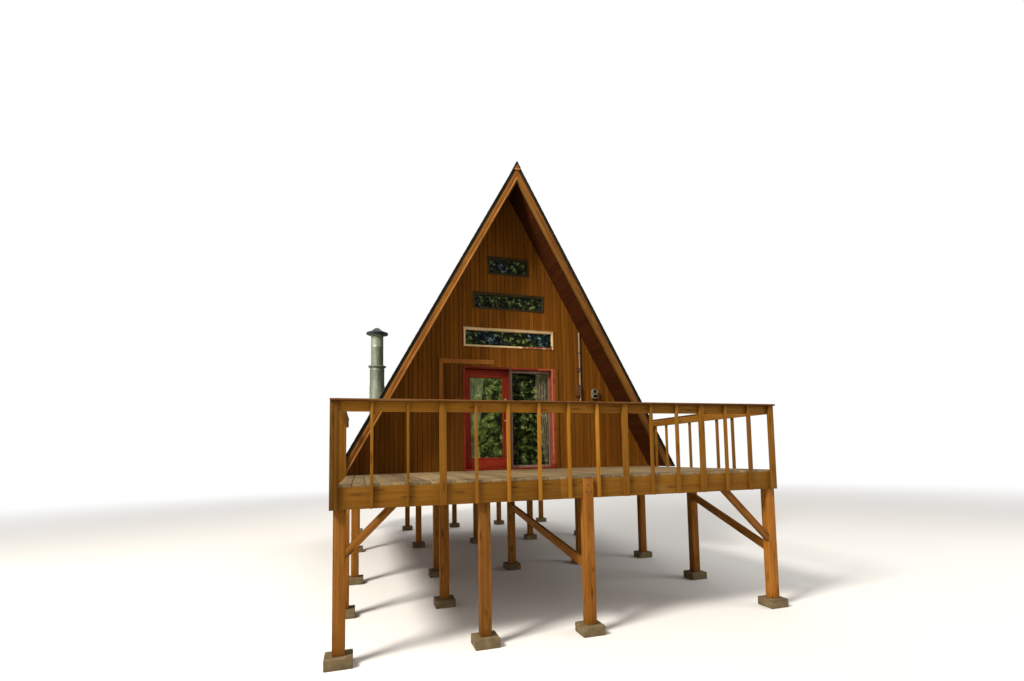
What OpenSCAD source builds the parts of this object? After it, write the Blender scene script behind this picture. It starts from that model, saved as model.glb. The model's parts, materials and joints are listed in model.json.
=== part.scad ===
// A-frame cabin on posts, with a raised front deck, a baluster rail and a glazed entry.
// X runs along the front, Y from the deck into the cabin, Z up from the underside of the pads.

/* [Cabin] */
// Width over the roof surfaces at floor level
cabin_w = 6700; // [6400:10:7400]
// Height of the roof surface at the ridge above the floor
roof_rise = 6110; // [5900:10:6600]
// Outside length from front wall to back wall
cabin_l = 7300; // [5000:10:9000]
// Height of the floor and deck above the ground
floor_h = 2000; // [1700:10:2600]
// Thickness of the gable walls
wall_t = 160; // [120:5:220]
// Thickness of the floor boards of the cabin
floor_t = 35; // [20:1:60]

/* [Roof] */
// How far the roof reaches in front of the front wall
front_overhang = 780; // [300:10:1000]
// How far the roof reaches behind the back wall
back_overhang = 450; // [200:10:900]
// Thickness of the shingles and their sheathing, square to the slope
skin_t = 28; // [20:1:50]
// Depth of a rafter, square to the slope
rafter_d = 120; // [90:5:180]
// Thickness of a rafter
rafter_t = 38; // [30:1:60]
// Largest distance between rafters
rafter_gap = 620; // [400:10:800]
// Thickness of the lining boards under the rafters
lining_t = 18; // [12:1:30]
// Thickness of the rake boards that close the roof ends
rake_t = 38; // [20:1:50]
// How far the roof surface reaches past the rake boards
skin_lip = 15; // [5:1:40]
// Width of the ridge beam
ridge_w = 90; // [60:5:140]
// Depth of the ridge beam
ridge_d = 235; // [160:5:300]
// How far the block at the peak stands out of the rake boards
peak_proud = 25; // [5:1:60]
// Height of the block at the peak
peak_h = 115; // [60:5:160]
// Length of each wing of the ridge cap down the slope
cap_wing = 150; // [80:5:250]
// Thickness of the ridge cap
cap_t = 6; // [3:1:12]

/* [Entry] */
// Width of the whole entry, over its red frame
entry_w = 1960; // [1800:10:2200]
// Height of the whole entry
entry_h = 2100; // [1950:10:2200]
// Width of the frame posts beside the door leaf
jamb_w = 42; // [30:1:70]
// Height of the frame's head
head_h = 42; // [30:1:80]
// Height of the threshold
sill_h = 35; // [20:1:60]
// Width of the frame post at the far side of the fixed pane
side_jamb_w = 75; // [60:5:160]
// Width of the post between leaf and fixed pane
mullion_w = 36; // [30:1:90]
// Width of the door leaf
leaf_w = 910; // [760:1:940]
// Thickness of the door leaf
leaf_t = 45; // [35:1:60]
// Running gap all round the leaf
leaf_gap = 6; // [5:1:10]
// Width of the leaf's side members
stile_w = 110; // [90:5:180]
// Height of the leaf's top member
top_rail_h = 150; // [90:5:200]
// Height of the leaf's bottom member
bottom_rail_h = 200; // [120:5:300]
// Thickness of all panes
glass_t = 8; // [5:1:12]
// Width of the metal frame round the fixed pane
pane_frame_w = 48; // [30:1:70]
// Depth of the metal frame round the fixed pane
pane_frame_t = 45; // [30:1:60]
// Height of the knob above the floor
knob_h = 1000; // [850:10:1150]
// Distance of knob and lock from the edge of the leaf
knob_in = 55; // [50:1:75]
// Height of the lock above the floor
lock_h = 1440; // [1250:10:1550]
// Diameter of the knob
knob_d = 54; // [40:1:70]
// How far the knob stands out of the leaf
knob_reach = 58; // [50:1:80]

/* [Curtains] */
// Width of the curtain beside the fixed pane
side_curtain_w = 420; // [250:10:600]
// Height of the curtain beside the fixed pane
side_curtain_h = 1900; // [1500:10:1960]
// Distance from the top of the entry down to that curtain
curtain_drop = 60; // [20:5:100]
// Depth that the folds of that curtain take
curtain_t = 60; // [30:5:100]
// Width of the curtain on the door leaf
door_curtain_w = 330; // [200:10:600]
// Depth that the folds of the door curtain take
door_curtain_t = 30; // [15:1:40]
// How far the door curtain laps over the edges of the leaf's pane
curtain_lap = 20; // [5:1:60]

/* [Windows] */
// Width of the lower window
low_window_w = 1920; // [1500:10:2100]
// Height of the lower window
low_window_h = 380; // [300:10:420]
// Sill of the lower window above the floor
low_window_z = 2510; // [2450:10:2560]
// Width of the middle window
mid_window_w = 1520; // [1200:10:1600]
// Height of the middle window
mid_window_h = 335; // [280:10:380]
// Sill of the middle window above the floor
mid_window_z = 3300; // [3200:10:3350]
// Width of the top window
top_window_w = 870; // [600:10:900]
// Height of the top window
top_window_h = 360; // [280:10:380]
// Sill of the top window above the floor
top_window_z = 4045; // [3950:5:4060]
// Width of the window frames
sash_w = 34; // [30:1:60]
// How far the window frames stand out of the wall
sash_proud = 14; // [5:1:30]
// Depth of the window frames
sash_t = 90; // [60:5:110]

/* [Deck] */
// Width of the deck over its side boards
deck_w = 6020; // [5400:10:6040]
// How far the middle of the deck lies to the left of the cabin's middle
deck_shift = 130; // [0:5:140]
// Depth of the deck, from its front board to the front wall
deck_l = 4100; // [2600:10:5000]
// Thickness of the deck boards
board_t = 32; // [22:1:45]
// Width of a deck board
board_w = 140; // [90:5:200]
// Gap between deck boards
board_gap = 6; // [3:1:12]
// Height of the front and side boards under the deck boards
fascia_h = 250; // [200:5:300]
// Thickness of the front and side boards
fascia_t = 38; // [25:1:50]
// Depth of the beams
beam_d = 235; // [180:5:300]
// Width of the beams
beam_w = 90; // [60:5:120]
// Depth of the cross beam over the middle row of posts
cross_beam_d = 140; // [90:5:190]
// Depth of the joists
joist_d = 185; // [140:5:220]
// Thickness of the joists
joist_t = 45; // [35:1:60]
// Largest distance between joists
joist_gap = 520; // [350:10:700]

/* [Posts] */
// Width of the square posts
post_w = 135; // [90:5:160]
// How far the outer posts stand out past the sides of the deck
post_out = 50; // [0:5:80]
// Width of the square pads
pad_w = 300; // [240:10:400]
// Height of the pads
pad_h = 120; // [80:5:200]
// Width of the square corner braces
brace_w = 85; // [60:5:100]
// Height and reach of the left corner brace, below the joists
left_brace_l = 500; // [400:10:700]
// Height and reach of the right corner brace, below the joists
right_brace_l = 720; // [400:10:800]
// Depth of the long braces that run back under the deck
long_brace_d = 125; // [90:5:150]
// Thickness of the long braces
long_brace_t = 45; // [30:1:60]
// How far below the floor the long braces leave the front posts
long_brace_low = 1090; // [900:10:1150]
// How far below the floor the right long brace meets the middle post
long_brace_high = 470; // [420:10:600]
// How far below the floor the middle long brace meets the cabin post
mid_brace_high = 680; // [600:10:800]
// Distance from the left edge of the deck to the second front post
second_post = 1680; // [1300:10:2000]
// Distance from the left edge of the deck to the third front post
third_post = 3030; // [2600:10:3600]
// Distance from the front board to the middle row of posts
middle_row = 2050; // [1500:10:2300]
// Distance from the left edge of the deck to the second post of the middle row
middle_post = 1470; // [1200:10:2000]
// How far the outer posts under the cabin stand in from its roof surface
cabin_post_inset = 350; // [100:10:600]

/* [Rail] */
// Height of the rail above the deck
rail_h = 970; // [850:10:1100]
// Depth of the rail board under the cap
rail_board_h = 90; // [80:5:150]
// Thickness of the rail board
rail_board_t = 38; // [25:1:50]
// Thickness of the flat cap
rail_cap_t = 25; // [18:1:40]
// Width of the flat cap
rail_cap_w = 105; // [90:5:140]
// Width of a baluster
baluster_w = 40; // [30:1:50]
// Width of a rail post
rail_post_w = 80; // [60:5:100]
// Width of the square corner posts
corner_post_w = 90; // [80:5:110]
// Number of equal baluster bays along the front
front_bays = 15; // [12:1:20]

/* [Fittings] */
// Distance from the cabin's middle to the flue
flue_x = 2600; // [2300:10:2700]
// Rafter bay that the flue comes through, counted from the front
flue_bay = 2; // [2:1:4]
// Diameter of the flue's upper pipe
flue_d = 220; // [150:5:250]
// Diameter of the flue's lower pipe
flue_base_d = 290; // [260:5:330]
// Diameter of the flue's cap
flue_cap_d = 390; // [340:5:440]
// Height of the flue's top above the floor
flue_top = 2930; // [2600:10:3200]
// Height of the joint between lower and upper pipe above the floor
flue_joint = 2140; // [2000:10:2300]
// Diameter of the conduit on the front wall
conduit_d = 34; // [20:1:50]
// Distance from the cabin's middle to the conduit
conduit_x = 1550; // [1300:5:1650]
// Height of the conduit's foot above the floor
conduit_foot = 1380; // [1200:10:1500]
// Distance from the cabin's middle to the wall light
light_x = 1875; // [1750:5:1950]
// Height of the wall light's underside above the floor
light_z = 1480; // [1300:10:1600]

/* [Hidden] */

rake_color = [0.55, 0.27, 0.09];
siding_color = [0.38, 0.24, 0.14];
shingle_color = [0.16, 0.14, 0.13];
soffit_color = [0.30, 0.13, 0.09];
red_color = [0.45, 0.07, 0.06];
deck_wood_color = [0.68, 0.40, 0.18];
deck_grey_color = [0.52, 0.47, 0.40];
frame_color = [0.26, 0.20, 0.16];
pale_frame_color = [0.66, 0.55, 0.42];
metal_color = [0.55, 0.56, 0.57];
glass_color = [0.45, 0.52, 0.52, 0.5];
concrete_color = [0.58, 0.56, 0.52];
curtain_color = [0.60, 0.66, 0.52];

// How far a cutter reaches past the face that it cuts
cut = 1;
// Clearance between pieces that meet along the slope of the roof
seat = 0.3;

// Slope of the roof, measured from the level
half_w = cabin_w / 2;
pitch = atan(roof_rise / half_w);
roof_d = skin_t + rafter_d + lining_t;
// Level shift along X and drop at the ridge of a surface that lies depth d inside the roof
function inset_x(d) = d / sin(pitch);
function inset_z(d) = d / cos(pitch);
// Half width of the room under the lining at height z above the floor
function room_half(z) = half_w - inset_x(roof_d + seat) - z / tan(pitch);
// Point at distance s down the right slope from the ridge and at height d over its surface
function over_slope(s, d) = [s * cos(pitch) + d * sin(pitch), roof_rise - s * sin(pitch) + d * cos(pitch)];

// Places along Y, with the middle of the whole model at 0
rail_cap_back = 5;
cap_out = rail_cap_w - rail_board_t - rail_cap_back;
front_out = max(cap_out, baluster_w + (pad_w - post_w) / 2);
total_l = front_out + deck_l + cabin_l + back_overhang;
deck_y = front_out - total_l / 2;
wall_y = deck_y + deck_l;
back_y = wall_y + cabin_l;
roof_y0 = wall_y - front_overhang;
roof_y1 = back_y + back_overhang;
roof_l = roof_y1 - roof_y0;

rafter_y0 = roof_y0 + skin_lip + rake_t;
rafter_y1 = roof_y1 - skin_lip - rake_t - rafter_t;
rafter_n = ceil((rafter_y1 - rafter_y0) / rafter_gap);
rafter_step = (rafter_y1 - rafter_y0) / rafter_n;
flue_y = rafter_y0 + (flue_bay + 0.5) * rafter_step + rafter_t / 2;

// Places along X
deck_x0 = -deck_w / 2 - deck_shift;
deck_x1 = deck_x0 + deck_w;
entry_x0 = -entry_w / 2;
leaf_x0 = entry_x0 + jamb_w + leaf_gap;
leaf_x1 = leaf_x0 + leaf_w;
pane_x0 = leaf_x1 + leaf_gap + mullion_w;
pane_x1 = entry_w / 2 - side_jamb_w;
hinge_r = 9;
hinge_pin_d = 10;
hinge_fit = 0.3;
hinge_h = 100;
hinge_plate_t = 3;
hinge_plate_w = 34;
hinge_x = leaf_x0 - leaf_gap / 2;
hinge_y = wall_y + wall_t + hinge_r + hinge_fit;

// Heights
board_z = floor_h - board_t;
beam_z = board_z - beam_d;
cross_beam_z = beam_z - cross_beam_d;
joist_z = board_z - joist_d;
fascia_z = board_z - fascia_h;
sill_z = floor_h + sill_h;
leaf_z0 = sill_z + leaf_gap;
leaf_z1 = floor_h + entry_h - head_h - leaf_gap;
leaf_y = wall_y + wall_t - leaf_t;
pane_y = leaf_y;
cabin_joist_z = floor_h - floor_t - joist_d;
cabin_beam_z = cabin_joist_z - beam_d;

// Post lines under the deck and the cabin
left_post_x = deck_x0 - post_out + post_w / 2;
right_post_x = deck_x1 + post_out - post_w / 2;
front_post_y = deck_y + fascia_t + post_w / 2;
middle_post_y = deck_y + middle_row;
notched_post_x = deck_x0 + third_post;
notched_post_y = deck_y - baluster_w + post_w / 2;
front_posts = [[left_post_x, front_post_y], [deck_x0 + second_post, front_post_y],
    [right_post_x, front_post_y]];
middle_posts = [for (x = [left_post_x, deck_x0 + middle_post, right_post_x]) [x, middle_post_y]];
cabin_post_x = [for (i = [-2:2]) i * (half_w - cabin_post_inset) / 2];
cabin_post_y = [wall_y + post_w / 2 + fascia_t, (wall_y + back_y) / 2,
    back_y - post_w / 2 - fascia_t];

module place(x, y, z) {
    translate([x, y, z]) children();
}

// Box from one corner with its size
module block(x, y, z, w, d, h) {
    place(x, y, z) cube([w, d, h]);
}

// Outline in X and height above the floor, drawn through the thickness from y0 to y1
module gable(y0, y1) {
    place(0, y1, floor_h) rotate([90, 0, 0]) linear_extrude(height = y1 - y0) children();
}

// Right half of a layer of the roof between the depths d0 and d1, for one stretch of Y
module slope_layer(d0, d1, y0, y1) {
    gable(y0, y1) polygon([
        [half_w - inset_x(d0), 0],
        [0, roof_rise - inset_z(d0)],
        [0, roof_rise - inset_z(d1)],
        [half_w - inset_x(d1), 0]
    ]);
}

// Vertical hole for the flue through everything on the left slope
flue_room = 10;

module flue_hole() {
    place(-flue_x, flue_y, floor_h) cylinder(d = flue_base_d + flue_room, h = flue_top, $fn = 48);
}

// Roof surface
module roof_left() {
    color(shingle_color) difference() {
        mirror([1, 0, 0]) slope_layer(0, skin_t, roof_y0, roof_y1);
        flue_hole();
    }
}

module roof_right() {
    color(shingle_color) slope_layer(0, skin_t, roof_y0, roof_y1);
}

// Rafters, evenly spaced between the two pairs of rake boards
module rafters() {
    for (i = [0:rafter_n]) {
        y = rafter_y0 + i * rafter_step;
        difference() {
            slope_layer(skin_t, skin_t + rafter_d, y, y + rafter_t);
            ridge_slot();
        }
    }
}

// Room that the ridge beam takes between the rafters
module ridge_slot() {
    block(-ridge_w / 2, roof_y0 - cut, ridge_z, ridge_w, roof_l + 2 * cut, roof_rise);
}

module rafters_left() {
    color(deck_wood_color) difference() {
        mirror([1, 0, 0]) rafters();
        flue_hole();
    }
}

module rafters_right() {
    color(deck_wood_color) rafters();
}

// Lining boards: the soffit outside and the ceiling inside
module lining() {
    difference() {
        slope_layer(skin_t + rafter_d, roof_d, rafter_y0, rafter_y1 + rafter_t);
        ridge_slot();
    }
}

module lining_left() {
    color(soffit_color) difference() {
        mirror([1, 0, 0]) lining();
        flue_hole();
    }
}

module lining_right() {
    color(soffit_color) lining();
}

// Ridge beam with its top bevelled to the underside of the roof surface
ridge_top = floor_h + roof_rise - inset_z(skin_t);
ridge_z = ridge_top - ridge_w / 2 * tan(pitch) - ridge_d;

module under_skin(y0, y1) {
    gable(y0, y1) polygon([
        [-half_w + inset_x(skin_t), 0],
        [half_w - inset_x(skin_t), 0],
        [0, roof_rise - inset_z(skin_t)]
    ]);
}

module ridge_beam() {
    color(deck_wood_color) intersection() {
        block(-ridge_w / 2, rafter_y0, ridge_z, ridge_w, rafter_y1 + rafter_t - rafter_y0, roof_rise);
        under_skin(roof_y0, roof_y1);
    }
}

// Three-cornered block over the joint of the front rake boards
module peak_block() {
    color(rake_color) intersection() {
        under_skin(roof_y0 - peak_proud, roof_y0 + skin_lip);
        block(-half_w, roof_y0 + skin_lip - peak_proud, ridge_top - peak_h, cabin_w, peak_proud, peak_h);
    }
}

// Folded cap over the ridge
module cap_side() {
    gable(roof_y0, roof_y1) polygon([
        [0, roof_rise + inset_z(seat)],
        [0, roof_rise + inset_z(seat + cap_t)],
        over_slope(cap_wing, seat + cap_t),
        over_slope(cap_wing, seat)
    ]);
}

module ridge_cap() {
    color(shingle_color) {
        cap_side();
        mirror([1, 0, 0]) cap_side();
    }
}

// Rake boards close the ends of the roof and meet in a mitre at the peak
module rake(y) {
    color(rake_color) slope_layer(skin_t, roof_d, y, y + rake_t);
}

module rake_front_left() {
    mirror([1, 0, 0]) rake(roof_y0 + skin_lip);
}

module rake_front_right() {
    rake(roof_y0 + skin_lip);
}

module rake_back_left() {
    mirror([1, 0, 0]) rake(roof_y1 - skin_lip - rake_t);
}

module rake_back_right() {
    rake(roof_y1 - skin_lip - rake_t);
}

// Front wall, in one piece each side of the entry and one above it
module wall_side() {
    gable(wall_y, wall_y + wall_t) polygon([
        [entry_w / 2, 0],
        [room_half(0), 0],
        [room_half(entry_h), entry_h],
        [entry_w / 2, entry_h]
    ]);
}

module front_wall_left() {
    color(siding_color) mirror([1, 0, 0]) wall_side();
}

module front_wall_right() {
    color(siding_color) wall_side();
}

// Openings for the three windows of a gable
module window_hole(w, h, z) {
    block(-w / 2, wall_y - cut, floor_h + z, w, wall_t + 2 * cut, h);
}

module window_holes() {
    window_hole(low_window_w, low_window_h, low_window_z);
    window_hole(mid_window_w, mid_window_h, mid_window_z);
    window_hole(top_window_w, top_window_h, top_window_z);
}

// Repeats what is in the front wall in the back wall, as its mirror image
module at_back() {
    place(0, wall_y + back_y, 0) mirror([0, 1, 0]) children();
}

module front_wall_upper() {
    color(siding_color) difference() {
        gable(wall_y, wall_y + wall_t) polygon([
            [-room_half(entry_h), entry_h],
            [room_half(entry_h), entry_h],
            [0, roof_rise - inset_z(roof_d + seat)]
        ]);
        ridge_slot();
        window_holes();
    }
}

module back_wall() {
    color(siding_color) difference() {
        gable(back_y - wall_t, back_y) polygon([
            [-room_half(0), 0],
            [room_half(0), 0],
            [0, roof_rise - inset_z(roof_d + seat)]
        ]);
        ridge_slot();
        at_back() window_holes();
    }
}

// Floor of the cabin, on joists that lie on three beams
module cabin_floor() {
    color(deck_wood_color) block(-half_w, wall_y, floor_h - floor_t, cabin_w, cabin_l, floor_t);
}

module floor_joists() {
    n = ceil((cabin_w - joist_t) / joist_gap);
    color(deck_wood_color) {
        for (i = [0:n])
            block(-half_w + i * (cabin_w - joist_t) / n, wall_y + fascia_t, cabin_joist_z, joist_t,
                cabin_l - 2 * fascia_t, joist_d);
        for (y = [wall_y, back_y - fascia_t]) block(-half_w, y, cabin_joist_z, cabin_w, fascia_t, joist_d);
    }
}

// Cross beams over the rows of posts under the cabin and over the middle row under the deck
module floor_beams() {
    color(deck_wood_color) {
        for (y = cabin_post_y) block(-half_w, y - beam_w / 2, cabin_beam_z, cabin_w, beam_w, beam_d);
        block(deck_x0 + fascia_t, middle_post_y - beam_w / 2, cross_beam_z, deck_w - 2 * fascia_t,
            beam_w, cross_beam_d);
    }
}

// A window frame in its wall opening, with room for the pane
module window(w, h, z) {
    y0 = wall_y - sash_proud;
    difference() {
        block(-w / 2, y0, floor_h + z, w, sash_t, h);
        block(-w / 2 + sash_w, y0 - cut, floor_h + z + sash_w, w - 2 * sash_w, sash_t + 2 * cut,
            h - 2 * sash_w);
    }
}

module window_pane(w, h, z) {
    block(-w / 2 + sash_w, wall_y - sash_proud + sash_t / 2, floor_h + z + sash_w,
        w - 2 * sash_w, glass_t, h - 2 * sash_w);
}

module upper_pair() {
    window(top_window_w, top_window_h, top_window_z);
    window(mid_window_w, mid_window_h, mid_window_z);
}

module upper_windows() {
    color(frame_color) {
        upper_pair();
        at_back() upper_pair();
    }
}

module lower_window() {
    color(pale_frame_color) {
        window(low_window_w, low_window_h, low_window_z);
        at_back() window(low_window_w, low_window_h, low_window_z);
    }
}

module gable_panes() {
    window_pane(top_window_w, top_window_h, top_window_z);
    window_pane(mid_window_w, mid_window_h, mid_window_z);
    window_pane(low_window_w, low_window_h, low_window_z);
}

module window_glass() {
    color(glass_color) {
        gable_panes();
        at_back() gable_panes();
    }
}

// Red frame of the entry: posts, head, threshold and the post between leaf and pane
frame_proud = 12;
stop_w = 20;
stop_t = 30;
entry_z1 = floor_h + entry_h;
pane_z1 = entry_z1 - head_h;

module frame_member(x, z, w, h) {
    block(x, wall_y - frame_proud, z, w, wall_t + frame_proud, h);
}

// Strip that the closed leaf stops against
module door_stop(x) {
    block(x, leaf_y - leaf_gap - stop_t, sill_z, stop_w, stop_t, pane_z1 - sill_z);
}

module entry_frame() {
    jamb_x1 = entry_x0 + jamb_w;
    color(red_color) {
        frame_member(entry_x0, floor_h, jamb_w, entry_h);
        frame_member(leaf_x1 + leaf_gap, sill_z, mullion_w, pane_z1 - sill_z);
        frame_member(pane_x1, floor_h, side_jamb_w, entry_h);
        frame_member(jamb_x1, pane_z1, pane_x1 - jamb_x1, head_h);
        frame_member(jamb_x1, floor_h, pane_x1 - jamb_x1, sill_h);
        door_stop(jamb_x1);
        door_stop(leaf_x1 + leaf_gap - stop_w);
    }
}

// Opening of the fixed pane inside its metal frame, through the depth d from y
module pane_opening(y, d) {
    block(pane_x0 + pane_frame_w, y, sill_z + pane_frame_w, pane_x1 - pane_x0 - 2 * pane_frame_w, d,
        pane_z1 - sill_z - 2 * pane_frame_w);
}

module side_pane_frame() {
    color(metal_color) difference() {
        block(pane_x0, pane_y, sill_z, pane_x1 - pane_x0, pane_frame_t, pane_z1 - sill_z);
        pane_opening(pane_y - cut, pane_frame_t + 2 * cut);
    }
}

module side_pane_glass() {
    color(glass_color) pane_opening(pane_y + (pane_frame_t - glass_t) / 2, glass_t);
}

// Curtains as plain panels: one hangs in the room beside the pane, one from the door leaf
module side_curtain() {
    x1 = entry_w / 2;
    color(curtain_color) block(x1 - side_curtain_w, wall_y + wall_t + seat,
        entry_z1 - curtain_drop - side_curtain_h, side_curtain_w, curtain_t, side_curtain_h);
}

module door_curtain() {
    glass_h = leaf_z1 - leaf_z0 - top_rail_h - bottom_rail_h;
    color(curtain_color) block(leaf_x0 + stile_w - curtain_lap, leaf_y + leaf_t + seat,
        leaf_z0 + bottom_rail_h - curtain_lap, door_curtain_w, door_curtain_t, glass_h + 2 * curtain_lap);
}

// Opening of the leaf's pane, through the depth d from y
module leaf_opening(y, d) {
    block(leaf_x0 + stile_w, y, leaf_z0 + bottom_rail_h, leaf_w - 2 * stile_w, d,
        leaf_z1 - leaf_z0 - top_rail_h - bottom_rail_h);
}

// Door leaf with one full pane; it swings into the room on its left edge
module door_leaf() {
    color(red_color) difference() {
        block(leaf_x0, leaf_y, leaf_z0, leaf_w, leaf_t, leaf_z1 - leaf_z0);
        leaf_opening(leaf_y - cut, leaf_t + 2 * cut);
        for (z = [knob_h, lock_h])
            place(knob_x, leaf_y - cut, floor_h + z) rotate([-90, 0, 0])
                cylinder(d = knob_spindle_d, h = leaf_t + 2 * cut, $fn = 48);
    }
}

module door_glass() {
    color(glass_color) leaf_opening(leaf_y + (leaf_t - glass_t) / 2, glass_t);
}

// Hinges: each has a pin and two end barrels on the frame and a middle barrel on the leaf
hinge_end = 180;
hinge_z = [leaf_z0 + hinge_end, (leaf_z0 + leaf_z1 - hinge_h) / 2, leaf_z1 - hinge_end - hinge_h];
barrel_h = hinge_h / 3;
// Gap between the pin and a tab of the leaf's plate
tab_gap = 1;

// Plate beside the barrel with tabs that reach it at the given thirds; side is 1 on the leaf
module hinge_plate(z, side, tabs) {
    near = hinge_r + 2 * hinge_fit;
    tab_x = hinge_pin_d / 2 + tab_gap;
    block(hinge_x + (side > 0 ? near : -near - hinge_plate_w), wall_y + wall_t, z, hinge_plate_w,
        hinge_plate_t, hinge_h);
    for (t = tabs)
        block(hinge_x + (side > 0 ? tab_x : -near), wall_y + wall_t + hinge_fit, z + t * barrel_h + hinge_fit,
            near - tab_x, hinge_plate_t, barrel_h - 2 * hinge_fit);
}

module frame_hinges() {
    color(metal_color) for (z = hinge_z) {
        hinge_plate(z, -1, [0, 2]);
        place(hinge_x, hinge_y, z) cylinder(d = hinge_pin_d, h = hinge_h, $fn = 32);
        for (t = [0, 2 * barrel_h + hinge_fit])
            place(hinge_x, hinge_y, z + t) cylinder(r = hinge_r, h = barrel_h - hinge_fit, $fn = 32);
    }
}

// Moving half of the hinges
module leaf_hinges() {
    color(metal_color) for (z = hinge_z) {
        difference() {
            union() {
                hinge_plate(z, 1, [1]);
                place(hinge_x, hinge_y, z + barrel_h + hinge_fit)
                    cylinder(r = hinge_r, h = barrel_h - 2 * hinge_fit, $fn = 32);
            }
            place(hinge_x, hinge_y, z) cylinder(d = hinge_pin_d + 2 * hinge_fit, h = hinge_h, $fn = 32);
        }
    }
}

// Knobs on both faces with the spindle between them
knob_x = leaf_x1 - knob_in;
knob_spindle_d = 20;
rose_d = 62;
rose_t = 8;
knob_neck = 22;
knob_crown = 8;

module knob_half() {
    rotate_extrude($fn = 48) polygon([
        [0, 0],
        [rose_d / 2, 0],
        [rose_d / 2, rose_t - 2],
        [rose_d / 2 - 2, rose_t],
        [knob_spindle_d / 2, rose_t],
        [knob_spindle_d / 2, rose_t + knob_neck / 3],
        [knob_d / 2, rose_t + knob_neck],
        [knob_d / 2, knob_reach - 2 * knob_crown],
        [knob_d / 2 - knob_crown / 2, knob_reach - knob_crown / 2],
        [knob_d / 4, knob_reach],
        [0, knob_reach]
    ]);
}

module door_knob() {
    color(metal_color) place(knob_x, leaf_y, floor_h + knob_h) {
        rotate([90, 0, 0]) knob_half();
        place(0, leaf_t, 0) rotate([-90, 0, 0]) knob_half();
        rotate([-90, 0, 0]) cylinder(d = knob_spindle_d, h = leaf_t, $fn = 32);
    }
}

// Round lock above the knob: a domed body outside and a flat plate inside
lock_d = 60;
lock_reach = 26;
lock_dome = 12;
lock_plate_t = 8;

module door_lock() {
    inner_y = lock_reach + leaf_t;
    color(metal_color) place(knob_x, leaf_y - lock_reach, floor_h + lock_h) rotate([-90, 0, 0])
        rotate_extrude($fn = 48) polygon([
            [0, 0],
            [lock_d / 2 - lock_dome, 0],
            [lock_d / 2, lock_dome],
            [lock_d / 2, lock_reach],
            [knob_spindle_d / 2, lock_reach],
            [knob_spindle_d / 2, inner_y],
            [lock_d / 2, inner_y],
            [lock_d / 2, inner_y + lock_plate_t],
            [0, inner_y + lock_plate_t]
        ]);
}

// Orange boards left of and above the entry, and a dark board along its right side
trim_t = 20;
trim_w = 78;
trim_x = -1460;
trim_top = 2240;
trim_foot = 2;
header_h = 95;
header_l = 1120;
side_trim_w = 62;

module entry_trim() {
    z0 = floor_h + trim_foot;
    color(deck_wood_color) {
        block(trim_x, wall_y - trim_t, z0, trim_w, trim_t, trim_top - trim_foot);
        block(trim_x + trim_w, wall_y - trim_t, floor_h + trim_top - header_h, header_l - trim_w, trim_t,
            header_h);
        block(entry_w / 2, wall_y - trim_t, z0, side_trim_w, trim_t, entry_h - trim_foot);
    }
}

// Conduit down the wall beside a small box, with straps and an elbow into the wall at its foot
strap_w = 150;
strap_t = 4;
strap_h = 25;
strap_gap = 340;
box_w = 95;
box_d = 75;
box_h = 240;
box_z = 1530;
elbow_h = 60;

module wall_conduit() {
    pipe_y = wall_y - strap_t - conduit_d / 2;
    conduit_top = (room_half(0) - conduit_x - conduit_d / 2) * tan(pitch);
    color(metal_color) {
        place(conduit_x, pipe_y, floor_h + conduit_foot)
            cylinder(d = conduit_d, h = conduit_top - conduit_foot, $fn = 24);
        block(conduit_x - conduit_d / 2, pipe_y, floor_h + conduit_foot, conduit_d, wall_y - pipe_y, elbow_h);
        block(conduit_x - conduit_d / 2 - box_w, wall_y - box_d, floor_h + box_z, box_w, box_d, box_h);
        for (i = [1, 2])
            block(conduit_x - strap_w / 2, wall_y - strap_t, floor_h + box_z + box_h + i * strap_gap,
                strap_w, strap_t, strap_h);
    }
}

// Wall light: a housing below a round head, both on a plate
light_w = 130;
light_plate_t = 14;
light_box_h = 95;
light_head_d = 125;
light_lap = 8;
light_d = 85;

module wall_light() {
    x0 = light_x - light_w / 2;
    head_z = light_z + light_box_h - light_lap + light_head_d / 2;
    color(pale_frame_color) {
        block(x0, wall_y - light_plate_t, floor_h + light_z, light_w, light_plate_t, head_z - light_z);
        block(x0, wall_y - light_d, floor_h + light_z, light_w, light_d, light_box_h);
        place(light_x, wall_y, floor_h + head_z) rotate([90, 0, 0])
            cylinder(d = light_head_d, h = light_d, $fn = 48);
    }
}

// Metal flue through the left slope
flue_foot = 900;
flue_t = 5;
cap_skirt = 30;
cap_rise = 32;
cap_lap = 35;
cap_plug = 25;

module tube(d, z0, z1) {
    difference() {
        place(0, 0, z0) cylinder(d = d, h = z1 - z0, $fn = 64);
        place(0, 0, z0 - cut) cylinder(d = flue_d - 2 * flue_t, h = z1 - z0 + 2 * cut, $fn = 64);
    }
}

module flue_pipe() {
    color(metal_color) place(-flue_x, flue_y, floor_h) {
        tube(flue_base_d, flue_foot, flue_joint);
        tube(flue_d, flue_joint, flue_top - cap_skirt - cap_rise);
    }
}

// Cap: a shallow cone with a skirt, plugged into the upper pipe
module flue_cap() {
    r = flue_d / 2 - flue_t - seat;
    color(metal_color) place(-flue_x, flue_y, floor_h + flue_top - cap_skirt - cap_rise)
        rotate_extrude($fn = 64) polygon([
            [0, -cap_plug],
            [r, -cap_plug],
            [r, 0],
            [flue_cap_d / 2, 0],
            [flue_cap_d / 2, cap_skirt],
            [flue_d / 4, cap_skirt + cap_rise],
            [0, cap_skirt + cap_rise]
        ]);
}

// Collar on the slope round the foot of the flue
collar_h = 130;
collar_t = 4;
collar_fit = 0.6;
apron_t = 5;
apron_w = 520;

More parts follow.
